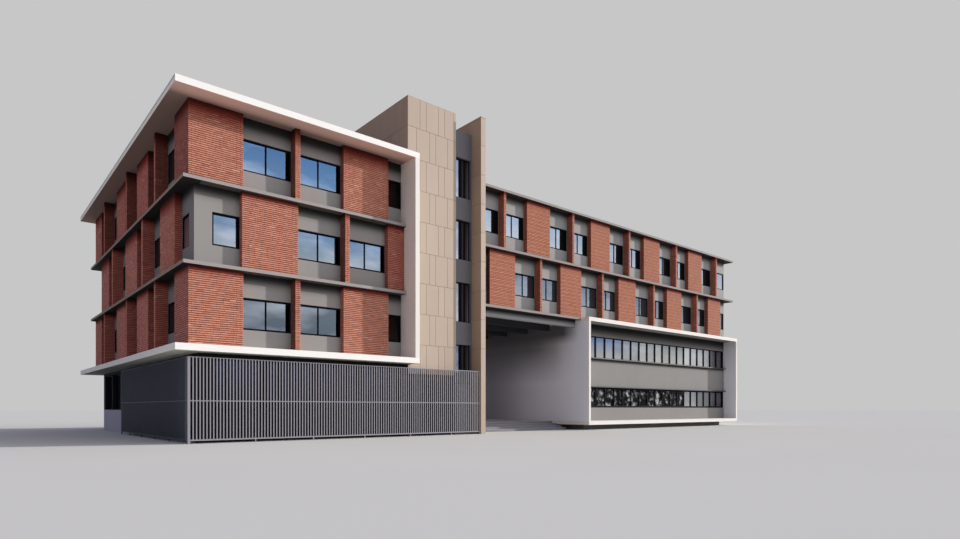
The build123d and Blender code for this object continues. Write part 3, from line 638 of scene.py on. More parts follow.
def glass_coat(name, alpha, rough=0.03, lighten=0.55):
    """Coated glass that mirrors the light in its own tint, which each pane carries as a painted reflection tone,
    lightened in soft patches as painted cloud reflections.
    """
    t = Tree(name)
    tint = t.attr("tint")["Color"]
    painted_cloud_reflection = t.noise(0.55, 3.0, 0.5, stretch=(1.0, 1.0, 2.6))
    lift = t.math("MULTIPLY", t.math("SUBTRACT", painted_cloud_reflection, 0.47, clamp=True), 2.4, clamp=True)
    grey = t.node("ShaderNodeRGBToBW", [("Color", tint)]).outputs["Val"]
    lift = t.math("MULTIPLY", lift, t.math("MULTIPLY", t.math("SUBTRACT", grey, 0.02), 9.0, clamp=True))      # panes painted dark stay dark
    col = t.mix(lift, tint, t.mix(lighten, tint, (0.72, 0.78, 0.86)))
    wave = t.noise(1.4, 2.0, 0.4)
    return t.set(base=col, metal=1.0, rough=rough, alpha=alpha, normal=t.bump(wave, 0.02, 0.004))


LIGHT_W, DARK_W = (0.90, 0.88, 0.835), (0.83, 0.81, 0.77)
LIGHT_F, DARK_F = (0.830, 0.790, 0.735), (0.765, 0.725, 0.672)
SHADY = (1.10, 1.16, 1.33)
# the west, soffit and eaves settings of the coats below are painted light and shade: tones for left-facing faces,
# undersides, and places under slabs and in recesses
WHITE = render_coat("white_render_coat", LIGHT_F, DARK_F, streak=0.02, west=(1.09, 1.06, 1.02))
WHITE_RIGHT = render_coat("white_right_wall_coat", LIGHT_F, DARK_F, streak=0.02, west=(1.19, 1.24, 1.33), eaves=right_wall_shade)
WHITE_ROOF = render_coat("white_roof_coat", LIGHT_W, DARK_W, streak=0.02, roof=(0.36, 0.36, 0.35), roof_below=(ZR - 0.04) * K,
                         soffit=((0.95, 0.64, 0.55), [(0.0, 1.0), (0.5, 0.92), (0.75, 0.76), (0.95, 0.48), (1.08, 0.36), (2.0, 0.33)], None), west=(1.10, 1.09, 1.00), left_top_band=0.08)
WHITE_LOW = render_coat("white_slab_coat", LIGHT_W, DARK_W, streak=0.02, soffit=((0.88, 0.90, 0.80), [(0.0, 1.0), (0.5, 0.9), (0.85, 0.6), (1.0, 0.25), (2.0, 0.16)], [(0.0, 1.0), (6.0, 1.0), (9.0, 0.75), (13.0, 0.5), (17.0, 0.36), (24.0, 0.34)]),
                        west=(1.11, 1.11, 1.05))
WHITE_BOX = render_coat("white_box_coat", LIGHT_F, DARK_F, streak=0.02, soffit=((1.0, 1.0, 1.0), [(0.29, 0.20), (0.5, 0.25), (0.7, 0.37), (0.9, 0.42), (1.1, 0.29), (1.3, 0.12), (1.42, 0.065), (2.0, 0.05)], None))
DIM = ((0.28, 0.26, 0.25), [(0.0, 1.0), (24.0, 1.0)], [(0.0, 0.30), (2.5, 0.14), (24.0, 0.10)])
DIM_WING = ((0.13, 0.10, 0.10), [(0.0, 1.0), (24.0, 1.0)], None)
STRING = render_coat("string_concrete_coat", (0.375, 0.345, 0.325), (0.30, 0.275, 0.26), streak=0.06, mottle=1.4, soffit=DIM, west=(0.94, 0.79, 0.62))
STRING_ROOF = render_coat("wing_roof_coat", (0.325, 0.30, 0.285), (0.26, 0.24, 0.225), streak=0.06, mottle=1.4, roof=(0.34, 0.34, 0.33), soffit=DIM_WING)
STRING_PORCH = render_coat("porch_slab_coat", (0.325, 0.295, 0.28), (0.26, 0.235, 0.22), streak=0.06, mottle=1.4,
                           soffit=((0.13, 0.10, 0.10), [(0.0, 1.0), (1.3, 1.0), (1.7, 0.12), (24.0, 0.12)], None))
STRING_WING = render_coat("wing_slab_coat", (0.325, 0.295, 0.28), (0.26, 0.235, 0.22), streak=0.06, mottle=1.4, soffit=DIM_WING)
GREY_LIGHT, GREY_DARK = (0.315, 0.30, 0.283), (0.262, 0.25, 0.236)
GREY = render_coat("grey_render_coat", GREY_LIGHT, GREY_DARK, streak=0.05)
GREY_BLOCK = render_coat("grey_render_block_coat", GREY_LIGHT, GREY_DARK, streak=0.05, eaves=storey_eaves(0.135), west=(0.84, 0.82, 0.84))
GREY_WING = render_coat("grey_render_wing_coat", tuple(c * k for c, k in zip(GREY_LIGHT, (1.10, 1.15, 1.17))), tuple(c * k for c, k in zip(GREY_DARK, (1.10, 1.15, 1.17))), streak=0.05, eaves=storey_eaves(0.0, 0.06))
GREY_STAIR = render_coat("stair_strip_coat", (0.180, 0.178, 0.184), (0.152, 0.150, 0.156), streak=0.05)
GREY_BOX = render_coat("grey_render_box_coat", tuple(c * 0.88 for c in GREY_LIGHT), tuple(c * 0.88 for c in GREY_DARK), streak=0.05, eaves=box_eaves)
GROUND = render_coat("ground_storey_coat", (0.014, 0.014, 0.018), (0.010, 0.010, 0.013), streak=0.05)
GROUND_SIDE = render_coat("ground_side_coat", (0.50, 0.49, 0.56), (0.44, 0.43, 0.50), streak=0.05, eaves=side_base)
FLOOR = paving_coat("porch_stone_coat", (0.56, 0.56, 0.57), (0.46, 0.46, 0.47))
CONC = render_coat("plain_concrete_coat", (0.20, 0.20, 0.20), (0.15, 0.15, 0.155), streak=0.05)
BEAM = render_coat("porch_beam_coat", (0.40, 0.40, 0.40), (0.35, 0.35, 0.35), streak=0.05, eaves=beam_shade)
WHITE_PORCH = render_coat("porch_wall_coat", LIGHT_F, DARK_F, streak=0.02, west=SHADY, eaves=porch_shade)
BRICK_STOPS = [(0.0, (0.34, 0.110, 0.076)), (0.35, (0.53, 0.205, 0.137)), (0.68, (0.66, 0.287, 0.196)), (1.0, (0.86, 0.52, 0.38))]


def west_block(t):
    """Painted light and shade on the block's left side: darker under the roof, lighter away from the corner."""
    y = axis_of(t, "Y")
    low = curve(t, y, [(1.0, 0.95), (3.0, 1.0), (5.0, 1.16), (7.0, 1.30), (12.0, 1.25), (24.0, 1.05)], 1.0, 24.0)
    top = curve(t, y, [(1.0, 0.61), (3.0, 0.67), (5.5, 0.96), (9.0, 1.02), (24.0, 0.98)], 1.0, 24.0)
    high = t.math("GREATER_THAN", axis_of(t, "Z"), Z3)
    return t.mix(high, t.mix(1.0, low, (1.0, 0.93, 1.02), "MULTIPLY"), t.mix(1.0, top, (1.0, 0.825, 0.94), "MULTIPLY"))


def south_block(t):
    """Painted shade on the ends of the left side's panels and fins that face the front, darkest under the roof."""
    high = t.mix(t.math("GREATER_THAN", axis_of(t, "Z"), Z3), (0.77, 0.56, 0.60), (0.40, 0.30, 0.31))
    own = t.math("MULTIPLY", t.math("LESS_THAN", axis_of(t, "X"), 1.15), t.math("GREATER_THAN", axis_of(t, "Y"), 1.30))
    return t.mix(own, (1.0, 1.0, 1.0), high)


def west_wing(t):
    """Painted shade on the left ends of the wing's panels: darkest behind the tall fin wall."""
    return t.mix(t.math("LESS_THAN", axis_of(t, "X"), 18.0), (0.72, 0.64, 0.60), (0.10, 0.08, 0.08))


def west_fins(t):
    # painted shade on the fins' left faces: the wing's by place along it, the block front's darker, the left side's as
    # on the block's left side
    x = axis_of(t, "X")
    wing = t.mix(1.0, curve(t, x, [(17.0, 0.62), (30.0, 0.70), (40.0, 0.95), (47.0, 0.95)], 17.0, 47.0), (1.0, 0.88, 0.92), "MULTIPLY")
    return t.mix(t.math("LESS_THAN", x, 1.2), t.mix(t.math("LESS_THAN", x, 12.5), wing, (0.36, 0.32, 0.33)), west_block(t))


BRICK = brick_coat("terracotta_brick", BRICK_STOPS, west=west_block, south=south_block)
BRICK_FIN = brick_coat("terracotta_brick_fins", BRICK_STOPS, west=west_fins, south=south_block)
BRICK_WING = brick_coat("terracotta_brick_wing", [(p, tuple(c * k for c, k in zip(col, (0.835, 0.81, 0.73)))) for p, col in BRICK_STOPS], west=west_wing)
MORTAR_WING = mortar_coat("brick_joint_wing", (0.29, 0.112, 0.080), (0.21, 0.082, 0.060))
MORTAR = mortar_coat("brick_joint", (0.085, 0.028, 0.020), (0.050, 0.017, 0.012))
STONE = stone_coat("beige_stone", (0.474, 0.376, 0.291), (0.400, 0.312, 0.240))
STONE_JOINT = joint_coat("stone_joint", (0.16, 0.12, 0.095))
# the front screen: painted shade on its slats' left faces
SCREEN = metal_paint("screen_paint", (0.26, 0.25, 0.275), rough=0.50, spec=0.35, west=0.25)
# the side screen: the screen paint darkened as painted shade, lighter up to 0.72 m deep
SCREEN_PAINTED_SHADE = metal_paint("side_screen_painted_shade", (0.042, 0.048, 0.064), rough=0.45, spec=0.3, strip=0.72)
FRAME = metal_paint("window_frame_paint", (0.004, 0.005, 0.010), rough=0.5, dust=0.05, spec=0.05)
GLASS = glass_coat("coated_glass", 0.92)
PAINTED_PANE = painted_pane_coat("painted_pane_glass")
MOTTLED = mottled_coat("mottled_glass")
GLASS_PALE = glass_coat("clear_glass", 0.86, lighten=0.3)
GLASS_DULL = glass_coat("dull_glass", 0.92, rough=0.22, lighten=0.25)

LEDGE = metal_paint("ledge_paint", (0.030, 0.030, 0.033), rough=0.45)

by_node = {}
for s in frame["record"]["subparts"]:
    by_node[s["node"]] = {"white_render": WHITE, "string_concrete": STRING, "grey_render": GREY, "brick": MORTAR, "window_glass": GLASS,
                          "screen_metal": SCREEN, "beige_cladding": STONE_JOINT, "floor_concrete": CONC}[s["material_slot"]]
by_node.update(left_roof_slab=WHITE_ROOF, left_first_floor_slab=WHITE_LOW, box_top_plate=WHITE_BOX, wing_roof_slab=STRING_ROOF,
               tower_roof=STRING_ROOF, stair_core_roof=STRING_ROOF, porch_landing=FLOOR, porch_steps=FLOOR, porch_left_wall=WHITE,
               porch_beams=BEAM, side_slat_screen=SCREEN_PAINTED_SHADE, box_left_wall=WHITE_PORCH, box_right_wall=WHITE_RIGHT, box_window_ledges=LEDGE,
               wing_third_floor_slab=STRING_WING, wing_second_floor_slab=STRING_PORCH, stair_window_wall=GREY_STAIR, box_front_bands=GREY_BOX, box_back_bands=GREY_BOX)
for n in ("left_front_wall", "left_side_wall", "left_back_wall", "left_court_wall", "lobby_back_wall"):
    by_node[n] = GREY_BLOCK
by_node.update(wing_brick_panels=MORTAR_WING)
for n in ("wing_front_wall", "wing_back_wall", "wing_end_wall"):
    by_node[n] = GREY_WING
for n in ("ground_front_wall", "ground_side_wall", "ground_back_wall", "ground_court_wall"):
    by_node[n] = GROUND_SIDE if n == "ground_side_wall" else GROUND
for n, m in by_node.items():
    o = nodes[n]
    o.data.materials.clear()
    o.data.materials.append(m)


# ------------------------------------------------------------------ bricks
BL, BD, J, JH, BEV = 0.290, 0.108, 0.026, 0.005, 0.009
COURSE = 0.0927


def lay(blocks, path, z0, z1, bev=BEV, spread=0.13, band=0.0):
    """Running bond along a plan path, outward on its right, with bonded corners.  Bricks stand out unevenly."""
    pts = [np.array(p, float) for p in path]
    segs = []
    for a, b in zip(pts, pts[1:]):
        d = b - a
        length = float(np.hypot(*d))
        d = d / length
        segs.append((a, d, np.array([d[1], -d[0]]), length))
    courses = max(1, int(round((z1 - z0) / COURSE)))
    step = (z1 - z0) / courses
    last = len(segs) - 1
    short = [0 < i < last and s[3] < 0.32 for i, s in enumerate(segs)]
    if len(segs) == 2:
        short = [False, False]
    for c in range(courses):
        za, zb = z0 + step * c + J * 0.5, z0 + step * (c + 1) - J * 0.5
        use = []                                   # for each corner: length back on one face, length on along the next
        for j in range(last):
            use.append([BL, BD] if (c + j) % 2 == 0 else [BD, BL])
        for i, s in enumerate(segs):
            if short[i]:
                use[i - 1][1] = use[i][0] = (s[3] - JH) / 2
                use[i - 1][0] = use[i][1] = BL if c % 2 else BD
        for i, s in enumerate(segs):               # no slivers beside a wall
            if i == 0 and last and s[3] - use[0][0] < 0.10:
                use[0][0] = s[3] + 0.004
            if i == last and last and s[3] - use[-1][1] < 0.10:
                use[-1][1] = s[3] + 0.004

        def proud():
            return float(rng.uniform(0.018, 0.022) + (0.005 if rng.random() < 0.10 else 0.0))

        def tone():
            return float(np.clip(rng.normal(0.52 + band * math.sin(c * 2.33), spread), 0.0, 1.0))

        def corner(a, d, n, length_back, depth_on):
            h = proud()
            p0 = a - d * length_back - n * depth_on
            p1 = a + d * h + n * h
            lo, hi = np.minimum(p0, p1), np.maximum(p0, p1)
            blocks.box(lo[0], hi[0], lo[1], hi[1], za, zb, bev, tone())

        done = set()
        for i, s in enumerate(segs):
            if short[i] and c % 2 == 0:            # one brick across the whole fin
                a, d, n, length = s
                h = proud()
                p0 = a - d * h - n * BD
                p1 = a + d * (length + h) + n * h
                lo, hi = np.minimum(p0, p1), np.maximum(p0, p1)
                blocks.box(lo[0], hi[0], lo[1], hi[1], za, zb, bev, tone())
                done |= {i - 1, i}
        for j in range(last):
            if j in done:
                continue
            a, d, n, length = segs[j]
            corner(a + d * length, d, n, use[j][0], use[j][1])
        for i, (a, d, n, length) in enumerate(segs):
            first = use[i - 1][1] + JH if i > 0 else 0.0
            end = length - (use[i][0] + JH) if i < last else length
            u = first - float(rng.uniform(0.02, BL - 0.06))
            while u < end - 0.01:
                v = u + BL
                s0, s1 = max(u, first), min(v, end)
                if s1 > end - 0.07:
                    s1 = end
                    v = end
                if s1 - s0 > 0.03:
                    h = proud()
                    p0 = a + d * s0 - n * 0.004
                    p1 = a + d * s1 + n * h
                    lo, hi = np.minimum(p0, p1), np.maximum(p0, p1)
                    axis = 0 if abs(n[0]) > 0.5 else 1
                    blocks.facing(axis, int(np.sign(n[axis])), lo[0], hi[0], lo[1], hi[1], za, zb, bev, tone())
                u = v + JH


def u_path(side, u0, u1, wall, front):
    if side == FRONT:
        return [(u0, wall), (u0, front), (u1, front), (u1, wall)]
    if side == BACK:
        return [(u1, wall), (u1, front), (u0, front), (u0, wall)]
    if side == LEFT:
        return [(wall, u1), (front, u1), (front, u0), (wall, u0)]
    return [(wall, u0), (front, u0), (front, u1), (wall, u1)]


bricks_front, bricks_side, bricks_fins = Blocks(), Blocks(), Blocks()
for i, (z0, z1) in enumerate(UPPER):
    if i != 1:
        lay(bricks_front, [(BX_WALL, 3.20), (BX_BRICK, 3.20), (BX_BRICK, BY_BRICK), (3.07, BY_BRICK), (3.07, BY_WALL)], z0, z1)
        lay(bricks_front, u_path(FRONT, 8.06, 10.64, BY_WALL, BY_BRICK), z0, z1)
        lay(bricks_side, [(3.07, BKY_WALL), (3.07, BKY_BRICK), (BX_BRICK, BKY_BRICK), (BX_BRICK, 21.25), (BX_WALL, 21.25)], z0, z1)
        lay(bricks_side, [(CX_WALL, 21.25), (CX_BRICK, 21.25), (CX_BRICK, BKY_BRICK), (9.35, BKY_BRICK), (9.35, BKY_WALL)], z0, z1)
        lay(bricks_side, u_path(LEFT, 8.20, 10.70, BX_WALL, BX_BRICK), z0, z1)
        lay(bricks_side, u_path(LEFT, 13.65, 16.15, BX_WALL, BX_BRICK), z0, z1)
        lay(bricks_side, u_path(RIGHT, 14.00, 16.15, CX_WALL, CX_BRICK), z0, z1)
        lay(bricks_fins, u_path(FRONT, 5.455, 5.675, BY_WALL, BY_SLAB + SET), z0, z1)
        for a, b in ((5.65, 5.88), (12.05, 12.28), (18.70, 18.93)):
            lay(bricks_fins, u_path(LEFT, a, b, BX_WALL, BX_SLAB + SET), z0, z1)
        for a, b in ((5.02, 5.24), (7.18, 7.40)):
            lay(bricks_fins, u_path(BACK, a, b, BKY_WALL, BKY_SLAB - SET), z0, z1)
        lay(bricks_fins, u_path(RIGHT, 18.70, 18.93, CX_WALL, CX_SLAB - SET), z0, z1)
    else:
        lay(bricks_front, u_path(FRONT, 3.05, 5.65, BY_WALL, BY_BRICK), z0, z1)
        lay(bricks_front, [(10.64, BY_WALL), (10.64, BY_BRICK), (11.65, BY_BRICK)], z0, z1)
        lay(bricks_side, u_path(BACK, 3.07, 5.13, BKY_WALL, BKY_BRICK), z0, z1)
        lay(bricks_side, u_path(BACK, 7.29, 9.35, BKY_WALL, BKY_BRICK), z0, z1)
        for a, b in ((3.20, 5.75), (10.70, 13.65), (18.65, 21.25)):
            lay(bricks_side, u_path(LEFT, a, b, BX_WALL, BX_BRICK), z0, z1)
        for a, b in ((12.70, 14.00), (18.65, 21.25)):
            lay(bricks_side, u_path(RIGHT, a, b, CX_WALL, CX_BRICK), z0, z1)
        lay(bricks_fins, u_path(FRONT, 8.05, 8.27, BY_WALL, BY_SLAB + SET), z0, z1)
        for a, b in ((8.25, 8.48), (16.05, 16.28)):
            lay(bricks_fins, u_path(LEFT, a, b, BX_WALL, BX_SLAB + SET), z0, z1)
        lay(bricks_fins, u_path(RIGHT, 16.05, 16.28, CX_WALL, CX_SLAB - SET), z0, z1)

bricks_wing, bricks_wing_back, bricks_wing_fins = Blocks(), Blocks(), Blocks()
for (z0, z1), panels, fins in zip(WING, (LOW_PANELS, TOP_PANELS), (LOW_FINS, TOP_FINS)):
    for a, b in panels:
        lay(bricks_wing, u_path(FRONT, a, b, WY_WALL, WY_BRICK), z0, z1, 0.003, 0.06, 0.20)
        lay(bricks_wing_back, u_path(BACK, a, b, WBY_WALL, WBY_BRICK), z0, z1)
    for a, b in fins:
        lay(bricks_wing_fins, u_path(FRONT, a, b, WY_WALL, WY_SLAB + SET), z0, z1)
        lay(bricks_wing_fins, u_path(BACK, a, b, WBY_WALL, WBY_SLAB - SET), z0, z1)
lay(bricks_wing_back, u_path(RIGHT, 5.84, 7.94, WX1, WX1 + 0.30), *WING[0])
for a, b in ((3.10, 5.20), (8.58, 10.68)):
    lay(bricks_wing_back, u_path(RIGHT, a, b, WX1, WX1 + 0.30), *WING[1])
for a, b in ((3.75, 3.97), (9.83, 10.05)):
    lay(bricks_wing_fins, u_path(RIGHT, a, b, WX1, LENGTH - SET), *WING[0])
lay(bricks_wing_fins, u_path(RIGHT, 6.78, 7.00, WX1, LENGTH - SET), *WING[1])

total = 0
for blocks, name in ((bricks_front, "bricks_block_front"), (bricks_side, "bricks_block_sides"), (bricks_fins, "bricks_block_fins"),
                     (bricks_wing, "bricks_wing_front"), (bricks_wing_back, "bricks_wing_back_and_end"), (bricks_wing_fins, "bricks_wing_fins")):
    print(name, blocks.count(), "triangles")
    total += blocks.count()
    # bricks carry painted shade under the slabs; on the block front right of X 10.6, above the first floor, also a
    # painted shadow of the white end fin
    blocks.make(name, BRICK_WING if name == "bricks_wing_front" else BRICK_FIN if "fins" in name else BRICK, "brick",
                eaves=[(11.18, 0.42), (ZR - T_STR, 0.42)] if "wing" in name else [(7.58, 0.42), (11.18, 0.95 if "sides" in name else 0.42), (ZR - T_WHITE, 1.0)],
                extra=(lambda v: np.where((v[:, 0] > 10.6) & (v[:, 2] > Z2), 0.83, 1.0)) if name == "bricks_block_front" else None)


# ------------------------------------------------------------------ windows
class Panes:
    """Thin glass sheets with a painted tint at the top and one at the bottom: painted reflections, and painted shade on
    dark panes.
    """

    def __init__(self):
        self.rows = []

    def add(self, face, u0, u1, w0, w1, z0, z1, top, low):
        self.rows.append((face.span(u0, u1, w0, w1) + (z0, z1), top, low))

    def make(self, name, material, *replaced):
        verts, faces, cols = [], [], []
        for (x0, x1, y0, y1, z0, z1), top, low in self.rows:
            k = len(verts)
            for z, c in ((z0, low), (z1, top)):
                for x, y in ((x0, y0), (x1, y0), (x1, y1), (x0, y1)):
                    verts.append(((x - OX) * K, (y - OY) * K, z * K))
                    cols.append((*c, 1.0))
            faces += [(k, k + 3, k + 2, k + 1), (k + 4, k + 5, k + 6, k + 7), (k, k + 1, k + 5, k + 4),
                      (k + 1, k + 2, k + 6, k + 5), (k + 2, k + 3, k + 7, k + 6), (k + 3, k, k + 4, k + 7)]
        me = bpy.data.meshes.new(name)
        me.from_pydata(verts, [], faces)
        me.update()
        a = me.attributes.new("tint", "FLOAT_COLOR", "POINT")
        a.data.foreach_set("color", np.array(cols, np.float32).reshape(-1))
        ob = bpy.data.objects.new(name, me)
        bpy.context.scene.collection.objects.link(ob)
        me.materials.append(material)
        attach(ob, "root")
        if replaced:
            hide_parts(*replaced)
        return ob


REFLECT = 1.45       # what the surroundings give back, so that a tint shows as named


def tint(top, low, spread=0.06):
    """A pane's two painted colours, from the tones they should show, each pane a little different."""
    k = 1.0 + rng.uniform(-spread, spread)
    return tuple(min(0.95, c * k / REFLECT) for c in lin(*top)), tuple(min(0.95, c * k / REFLECT) for c in lin(*low))


# painted dark reflection of the shaded reveal, for the dark share of the block's panes
DEEP = ((14, 15, 19), (24, 24, 27))
INNER = ((50, 42, 43), (66, 56, 57))       # painted dark reflections for the small windows beside the white end fin


def window(frames, panes, face, u0, u1, z0, z1, top, low, leaves=2, spread=0.06, dark=0.0, painted_dark_panes=None, painted_dark_level=0.015):
    """A sliding window in the depth of its wall: outer frame, overlapping sashes, panes.
    dark: the share beside the right jamb that gets a dark pane, painted shade of the unlit room and the shaded reveal.
    The last two arguments: the panes that take it, and how light it is."""
    F = 0.045
    face.put(frames, u0, u1, -0.030, 0.050, z1 - 0.055, z1)
    face.put(frames, u0, u1, -0.030, 0.050, z0, z0 + 0.040)
    face.put(frames, u0, u0 + F, -0.030, 0.050, z0 + 0.040, z1 - 0.055)
    face.put(frames, u1 - F, u1, -0.030, 0.050, z0 + 0.040, z1 - 0.055)
    a, b, lo, hi = u0 + F, u1 - F, z0 + 0.040, z1 - 0.055
    wide = (b - a) / leaves
    S = 0.042
    for k in range(leaves):
        s0, s1 = a + wide * k, a + wide * (k + 1)
        w = (-0.024, 0.004) if k % 2 == 0 else (0.006, 0.034)
        if k:
            s0 -= 0.012
        face.put(frames, s0, s1, *w, hi - S, hi, 0.002)
        face.put(frames, s0, s1, *w, lo, lo + S * 1.2, 0.002)
        face.put(frames, s0, s0 + S, *w, lo + S * 1.2, hi - S, 0.002)
        face.put(frames, s1 - S, s1, *w, lo + S * 1.2, hi - S, 0.002)
        m = (w[0] + w[1]) / 2
        p0, p1, cut = s0 + S * 0.6, s1 - S * 0.6, u1 - dark * (u1 - u0)
        look = tint(top, low, spread)
        if cut > p0 + 0.02:
            panes.add(face, p0, min(p1, cut), m - 0.004, m + 0.004, lo + S * 0.8, hi - S * 0.6, *look)
        # the share by the right jamb: a painted dark pane
        if cut < p1 - 0.02:
            deep = tint(*DEEP, spread) if painted_dark_panes is None else (tuple(painted_dark_level * c for c in (0.88, 0.84, 0.94)), tuple(painted_dark_level * c for c in (1.12, 1.06, 1.14)))
            (panes if painted_dark_panes is None else painted_dark_panes).add(face, max(p0, cut), p1, m - 0.004, m + 0.004, lo + S * 0.8, hi - S * 0.6, *deep)


left_frames, left_panes, left_dull = Blocks(), Panes(), Panes()
# painted sky reflections for the block's panes, a tone at the top and one at the bottom; on the side windows painted
# reflections and painted dark panes
TOP_SKY = ((86, 124, 170), (105, 140, 178))
MID_SKY = ((106, 140, 176), (148, 162, 170))
LOW_SKY = ((105, 118, 129), (98, 110, 120))
SIDE_LOOK = (((118, 94, 98), (152, 118, 116)), ((40, 38, 44), (52, 46, 50)))
for i, (z0, z1) in enumerate(UPPER):
    look = (LOW_SKY, MID_SKY, TOP_SKY)[i]
    for a, b in (B_FRONT_M if i == 1 else B_FRONT_A):
        inner = i != 1 and a > 10
        window(left_frames, left_panes, Face(1, -1, BY_WALL + INSET), a, b, z0 + SILL, z0 + HEAD, *(INNER if inner else look), leaves=1 if b - a < 1.4 else 2,
               dark=0.12 if b - a < 1.4 else 0.10)
    for a, b in (B_SIDE_M if i == 1 else B_SIDE_A):
        look_ = SIDE_LOOK[0] if i == 1 and a < 3 else SIDE_LOOK[1]
        window(left_frames, left_dull, Face(0, -1, BX_WALL + 0.07), a, b, z0 + SILL, z0 + HEAD, *look_, leaves=1 if b - a < 1.4 else 2)
    for a, b in (B_BACK_M if i == 1 else B_BACK_A):
        window(left_frames, left_panes, Face(1, 1, BKY_WALL - INSET), a, b, z0 + SILL, z0 + HEAD, *look, leaves=1 if b - a < 1.4 else 2)
    for a, b in (B_COURT_M if i == 1 else B_COURT_A):
        window(left_frames, left_panes, Face(0, 1, CX_WALL - INSET), a, b, z0 + SILL, z0 + HEAD, *look, leaves=1 if b - a < 1.4 else 2)
left_frames.make("block_window_frames", FRAME, None)
left_panes.make("block_window_panes", GLASS, "left_glass")
left_dull.make("block_side_window_panes", PAINTED_PANE, "left_glass")

ground_frames, ground_panes = Blocks(), Panes()
# painted reflection tones for the ground-storey panes
GF_LOOK = ((58, 64, 92), (38, 42, 50))
for a, b in GF_FRONT:
    window(ground_frames, ground_panes, Face(1, -1, 1.25), a, b, GF_SILL, GF_HEAD, *GF_LOOK, leaves=4)
for a, b in GF_SIDE:
    window(ground_frames, ground_panes, Face(0, -1, 1.38), a, b, GF_SILL, GF_HEAD, *GF_LOOK, leaves=4)
for a, b in GF_FRONT[:3]:
    window(ground_frames, ground_panes, Face(1, 1, 22.35), a + 0.4, b + 0.4, GF_SILL, GF_HEAD, *GF_LOOK, leaves=4)
for a, b in GF_SIDE[4:]:
    window(ground_frames, ground_panes, Face(0, 1, 10.85), a, b, GF_SILL, GF_HEAD, *GF_LOOK, leaves=4)
ground_frames.make("ground_window_frames", FRAME, None)
ground_panes.make("ground_window_panes", GLASS_DULL, "ground_glass")

stair_frames, stair_panes, stair_painted_panes = Blocks(), Panes(), Panes()
for h in STAIR_HEADS:
    face, u0, u1, z0, z1 = Face(1, -1, STRIP_Y + WALL), TX1 + 0.06, FIN_X0 - 0.06, h - 2.30, h
    face.put(stair_frames, u0, u1, -0.03, 0.05, z1 - 0.055, z1)
    face.put(stair_frames, u0, u1, -0.03, 0.05, z0, z0 + 0.045)
    for a, b in ((u0, u0 + 0.045), (15.555, 15.735), (16.27, u1)):
        face.put(stair_frames, a, b, -0.03, 0.05, z0 + 0.045, z1 - 0.055)
    # painted sky reflection in each stair window's left pane
    sky = [((92, 108, 128), (118, 130, 146)), ((146, 148, 156), (174, 172, 178)), ((146, 156, 176), (178, 180, 196)), ((140, 154, 182), (170, 180, 200))][STAIR_HEADS.index(h)]
    stair_panes.add(face, u0 + 0.03, 15.57, -0.004, 0.004, z0 + 0.03, z1 - 0.04, *tint(*sky, 0.03))
    # right of the bar the panes are painted: dim stair, near black where the bar's shadow falls, then a dark reflection
    # growing lighter downwards
    for a, b, top, low in ((15.72, 15.89, (0.040, 0.039, 0.046), (0.052, 0.050, 0.056)), (15.89, 16.03, (0.006, 0.005, 0.006), (0.006, 0.005, 0.006)),
                           (16.03, 16.15, (0.024, 0.020, 0.020), (0.070, 0.058, 0.052)), (16.15, 16.29, (0.066, 0.054, 0.050), (0.160, 0.134, 0.118))):
        stair_painted_panes.add(face, a, b, -0.004, 0.004, z0 + 0.03, z1 - 0.04, top, low)
stair_frames.make("stair_window_frames", FRAME, None)
stair_panes.make("stair_window_panes", GLASS, "stair_glass")
stair_painted_panes.make("stair_window_painted_dark_panes", PAINTED_PANE, "stair_glass")

wing_frames, wing_panes, wing_painted_dark_panes = Blocks(), Panes(), Panes()
# painted sky reflection tones for the wing's panes
W_LOOK = [((112, 128, 146), (144, 154, 164)), ((156, 178, 200), (186, 198, 208))]
# the share of each front window painted as a dark pane, where the shaded reveal and unlit rooms show
W_DARK = [(0.20, 0.29, 0.22, 0.35, 0.27, 0.42, 0.31, 0.48, 0.36, 0.0), (0.26, 0.20, 0.33, 0.25, 0.40, 0.29, 0.46, 0.34, 0.53, 0.0)]
W_PAINTED_DARK = [(0.040, 0.010), (0.004, 0.004)]       # how light the painted dark panes are: near the stair, and far from it
for (z0, z1), holes, ends, look, darks, painted_dark_levels in zip(WING, (W_LOW, W_TOP), (W_END_LOW, W_END_TOP), W_LOOK, W_DARK, W_PAINTED_DARK):
    for k, (a, b) in enumerate(holes):
        n = 1 if b - a < 1.4 else 2
        window(wing_frames, wing_panes, Face(1, -1, WY_WALL + INSET), a, b, z0 + SILL, z0 + HEAD, *look, leaves=n, spread=0.10, dark=darks[min(k, len(darks) - 1)],
               painted_dark_panes=wing_painted_dark_panes, painted_dark_level=painted_dark_levels[0] if k < 6 else painted_dark_levels[1])
        window(wing_frames, wing_panes, Face(1, 1, WBY_WALL - INSET), a, b, z0 + SILL, z0 + HEAD, *look, leaves=n, spread=0.10)
    for a, b in ends:
        window(wing_frames, wing_panes, Face(0, 1, WX1 - INSET), a, b, z0 + SILL, z0 + HEAD, *look, leaves=1 if b - a < 1.4 else 2)
for a, b in LOBBY:
    for base in (Z_GF, Z1, Z2, Z3):
        window(wing_frames, wing_panes, Face(1, 1, WBY_WALL - INSET), a, b, base + SILL, base + HEAD, *W_LOOK[0])
wing_frames.make("wing_window_frames", FRAME, None)
wing_panes.make("wing_window_panes", GLASS_PALE, "wing_glass")
wing_painted_dark_panes.make("wing_window_painted_dark_panes", PAINTED_PANE, "wing_glass")

